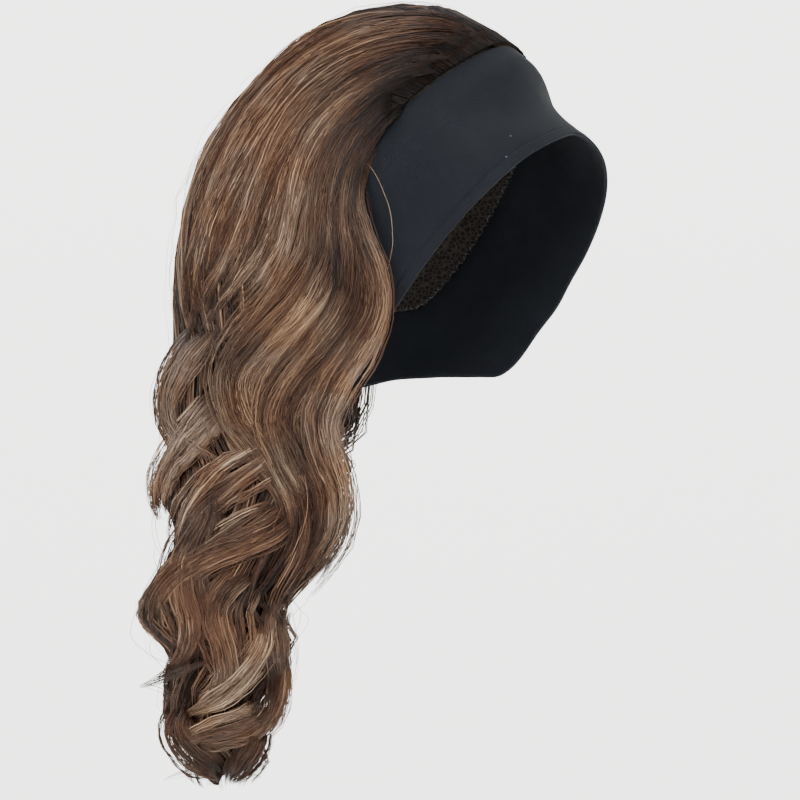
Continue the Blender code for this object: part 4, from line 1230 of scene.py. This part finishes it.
# %% Wefts and the seam
def rib(name, line, half_width, half_height, look):
    """A closed rib round the inside of the cap, flat against it."""
    count = len(line)
    inward = HEAD_CENTRE - line
    inward /= np.linalg.norm(inward, axis=-1)[:, None]
    ahead = np.roll(line, -1, axis=0) - np.roll(line, 1, axis=0)
    aside = np.cross(ahead, inward)
    aside /= np.linalg.norm(aside, axis=-1)[:, None]
    points = [
        line + aside * half_width * math.cos(turn) + inward * half_height * math.sin(turn)
        for turn in np.linspace(0, 2 * math.pi, 8, endpoint=False)
    ]
    faces = [
        (a * count + j, a * count + (j + 1) % count, b * count + (j + 1) % count, b * count + j)
        for a, b in zip(range(8), [1, 2, 3, 4, 5, 6, 7, 0]) for j in range(count)
    ]
    return np.concatenate(points), faces


WEFT_ROWS = (0.22, 0.38, 0.54, 0.70, 0.86)
weft_turns = np.linspace(-180, 180, 120, endpoint=False)
weft_points, weft_faces = [], []
for share in WEFT_ROWS:
    line = head_point(weft_turns, np.interp(weft_turns, whole_round, cap_rim) * share, -0.0004)
    made = rib("weft", line, 0.0022, 0.0007, cap_look)
    weft_faces += [tuple(i + sum(map(len, weft_points)) for i in face) for face in made[1]]
    weft_points.append(made[0])
wefts = mesh_piece("weft_rows", np.concatenate(weft_points), weft_faces, cap_look)


def stitch_tree():
    tree = bpy.data.node_groups.new("stitches_on_a_line", "GeometryNodeTree")
    socket(tree, "Geometry", "NodeSocketGeometry")
    socket(tree, "Pitch", "NodeSocketFloat", 0.003)
    socket(tree, "Stitch length", "NodeSocketFloat", 0.0022)
    socket(tree, "Thread radius", "NodeSocketFloat", 0.00025)
    socket(tree, "Material", "NodeSocketMaterial")
    tree.interface.new_socket(name="Geometry", in_out="OUTPUT", socket_type="NodeSocketGeometry")
    given = tree.nodes.new("NodeGroupInput")
    link = tree.links.new
    line = node(tree, "GeometryNodeMeshToCurve")
    link(given.outputs["Geometry"], line.inputs["Mesh"])
    points = node(tree, "GeometryNodeCurveToPoints", mode="LENGTH")
    link(line.outputs["Curve"], points.inputs["Curve"])
    link(given.outputs["Pitch"], points.inputs["Length"])
    thread = node(tree, "GeometryNodeMeshCylinder")
    thread.inputs["Vertices"].default_value = 6
    link(given.outputs["Thread radius"], thread.inputs["Radius"])
    link(given.outputs["Stitch length"], thread.inputs["Depth"])
    # Every other stitch leans the other way, which makes the zigzag
    index = node(tree, "GeometryNodeInputIndex")
    odd = node(tree, "ShaderNodeMath", operation="PINGPONG")
    link(index.outputs["Index"], odd.inputs[0])
    odd.inputs[1].default_value = 1.0
    swing = node(tree, "ShaderNodeMath", operation="MULTIPLY_ADD")
    link(odd.outputs["Value"], swing.inputs[0])
    swing.inputs[1].default_value = 1.6
    swing.inputs[2].default_value = -0.8
    lean = node(tree, "ShaderNodeCombineXYZ")
    link(swing.outputs["Value"], lean.inputs["X"])
    put = node(tree, "GeometryNodeInstanceOnPoints")
    link(points.outputs["Points"], put.inputs["Points"])
    link(thread.outputs["Mesh"], put.inputs["Instance"])
    link(points.outputs["Rotation"], put.inputs["Rotation"])
    turned = node(tree, "GeometryNodeRotateInstances")
    link(put.outputs["Instances"], turned.inputs["Instances"])
    link(lean.outputs["Vector"], turned.inputs["Rotation"])
    real = node(tree, "GeometryNodeRealizeInstances")
    link(turned.outputs["Instances"], real.inputs["Geometry"])
    look = node(tree, "GeometryNodeSetMaterial")
    link(real.outputs["Geometry"], look.inputs["Geometry"])
    link(given.outputs["Material"], look.inputs["Material"])
    done = tree.nodes.new("NodeGroupOutput")
    link(look.outputs["Geometry"], done.inputs["Geometry"])
    return tree


thread_look, thread_tree, thread_shader = new_material("sewing_thread", (0.012, 0.012, 0.014), 0.6)
twist_place = node(thread_tree, "ShaderNodeTexCoord")
twist = node(thread_tree, "ShaderNodeTexNoise", Scale=2500.0)
thread_tree.links.new(twist_place.outputs["Object"], twist.inputs["Vector"])
twist_colour = ramp(thread_tree, [(0.3, (0.006, 0.006, 0.007)), (0.7, (0.022, 0.022, 0.025))], twist.outputs["Fac"])
thread_tree.links.new(twist_colour, thread_shader.inputs["Base Color"])
seam_turns = np.linspace(-180, 180, 240, endpoint=False)
seam_line = head_point(seam_turns, np.interp(seam_turns, whole_round, cap_rim), -0.0002)
seam_mesh = bpy.data.meshes.new("cap_seam_line")
seam_mesh.from_pydata([tuple(p) for p in seam_line], [(i, (i + 1) % 240) for i in range(240)], [])
cap_seam = through_tree("cap_seam", seam_mesh, stitch_tree(), Material=thread_look)
print("cap seam:", len(cap_seam.data.polygons), "faces")

# %% Everything rides on the root
pieces = {
    "right_hair": [right_core, *right_strands, inner_strands[0], side_locks, *tail_locks, stray_hairs],
    "crown_hair": [crown_core, *crown_strands, crown_locks, flyaways],
    "left_hair": [left_core, *left_strands, inner_strands[1]],
    "under_hair": [under_core, under_strands],
    "headband": [band],
}
for piece in (wefts, cap_seam):
    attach(piece, "root")
for name, group in pieces.items():
    for piece in group:
        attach(piece, "root")
        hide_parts(name)
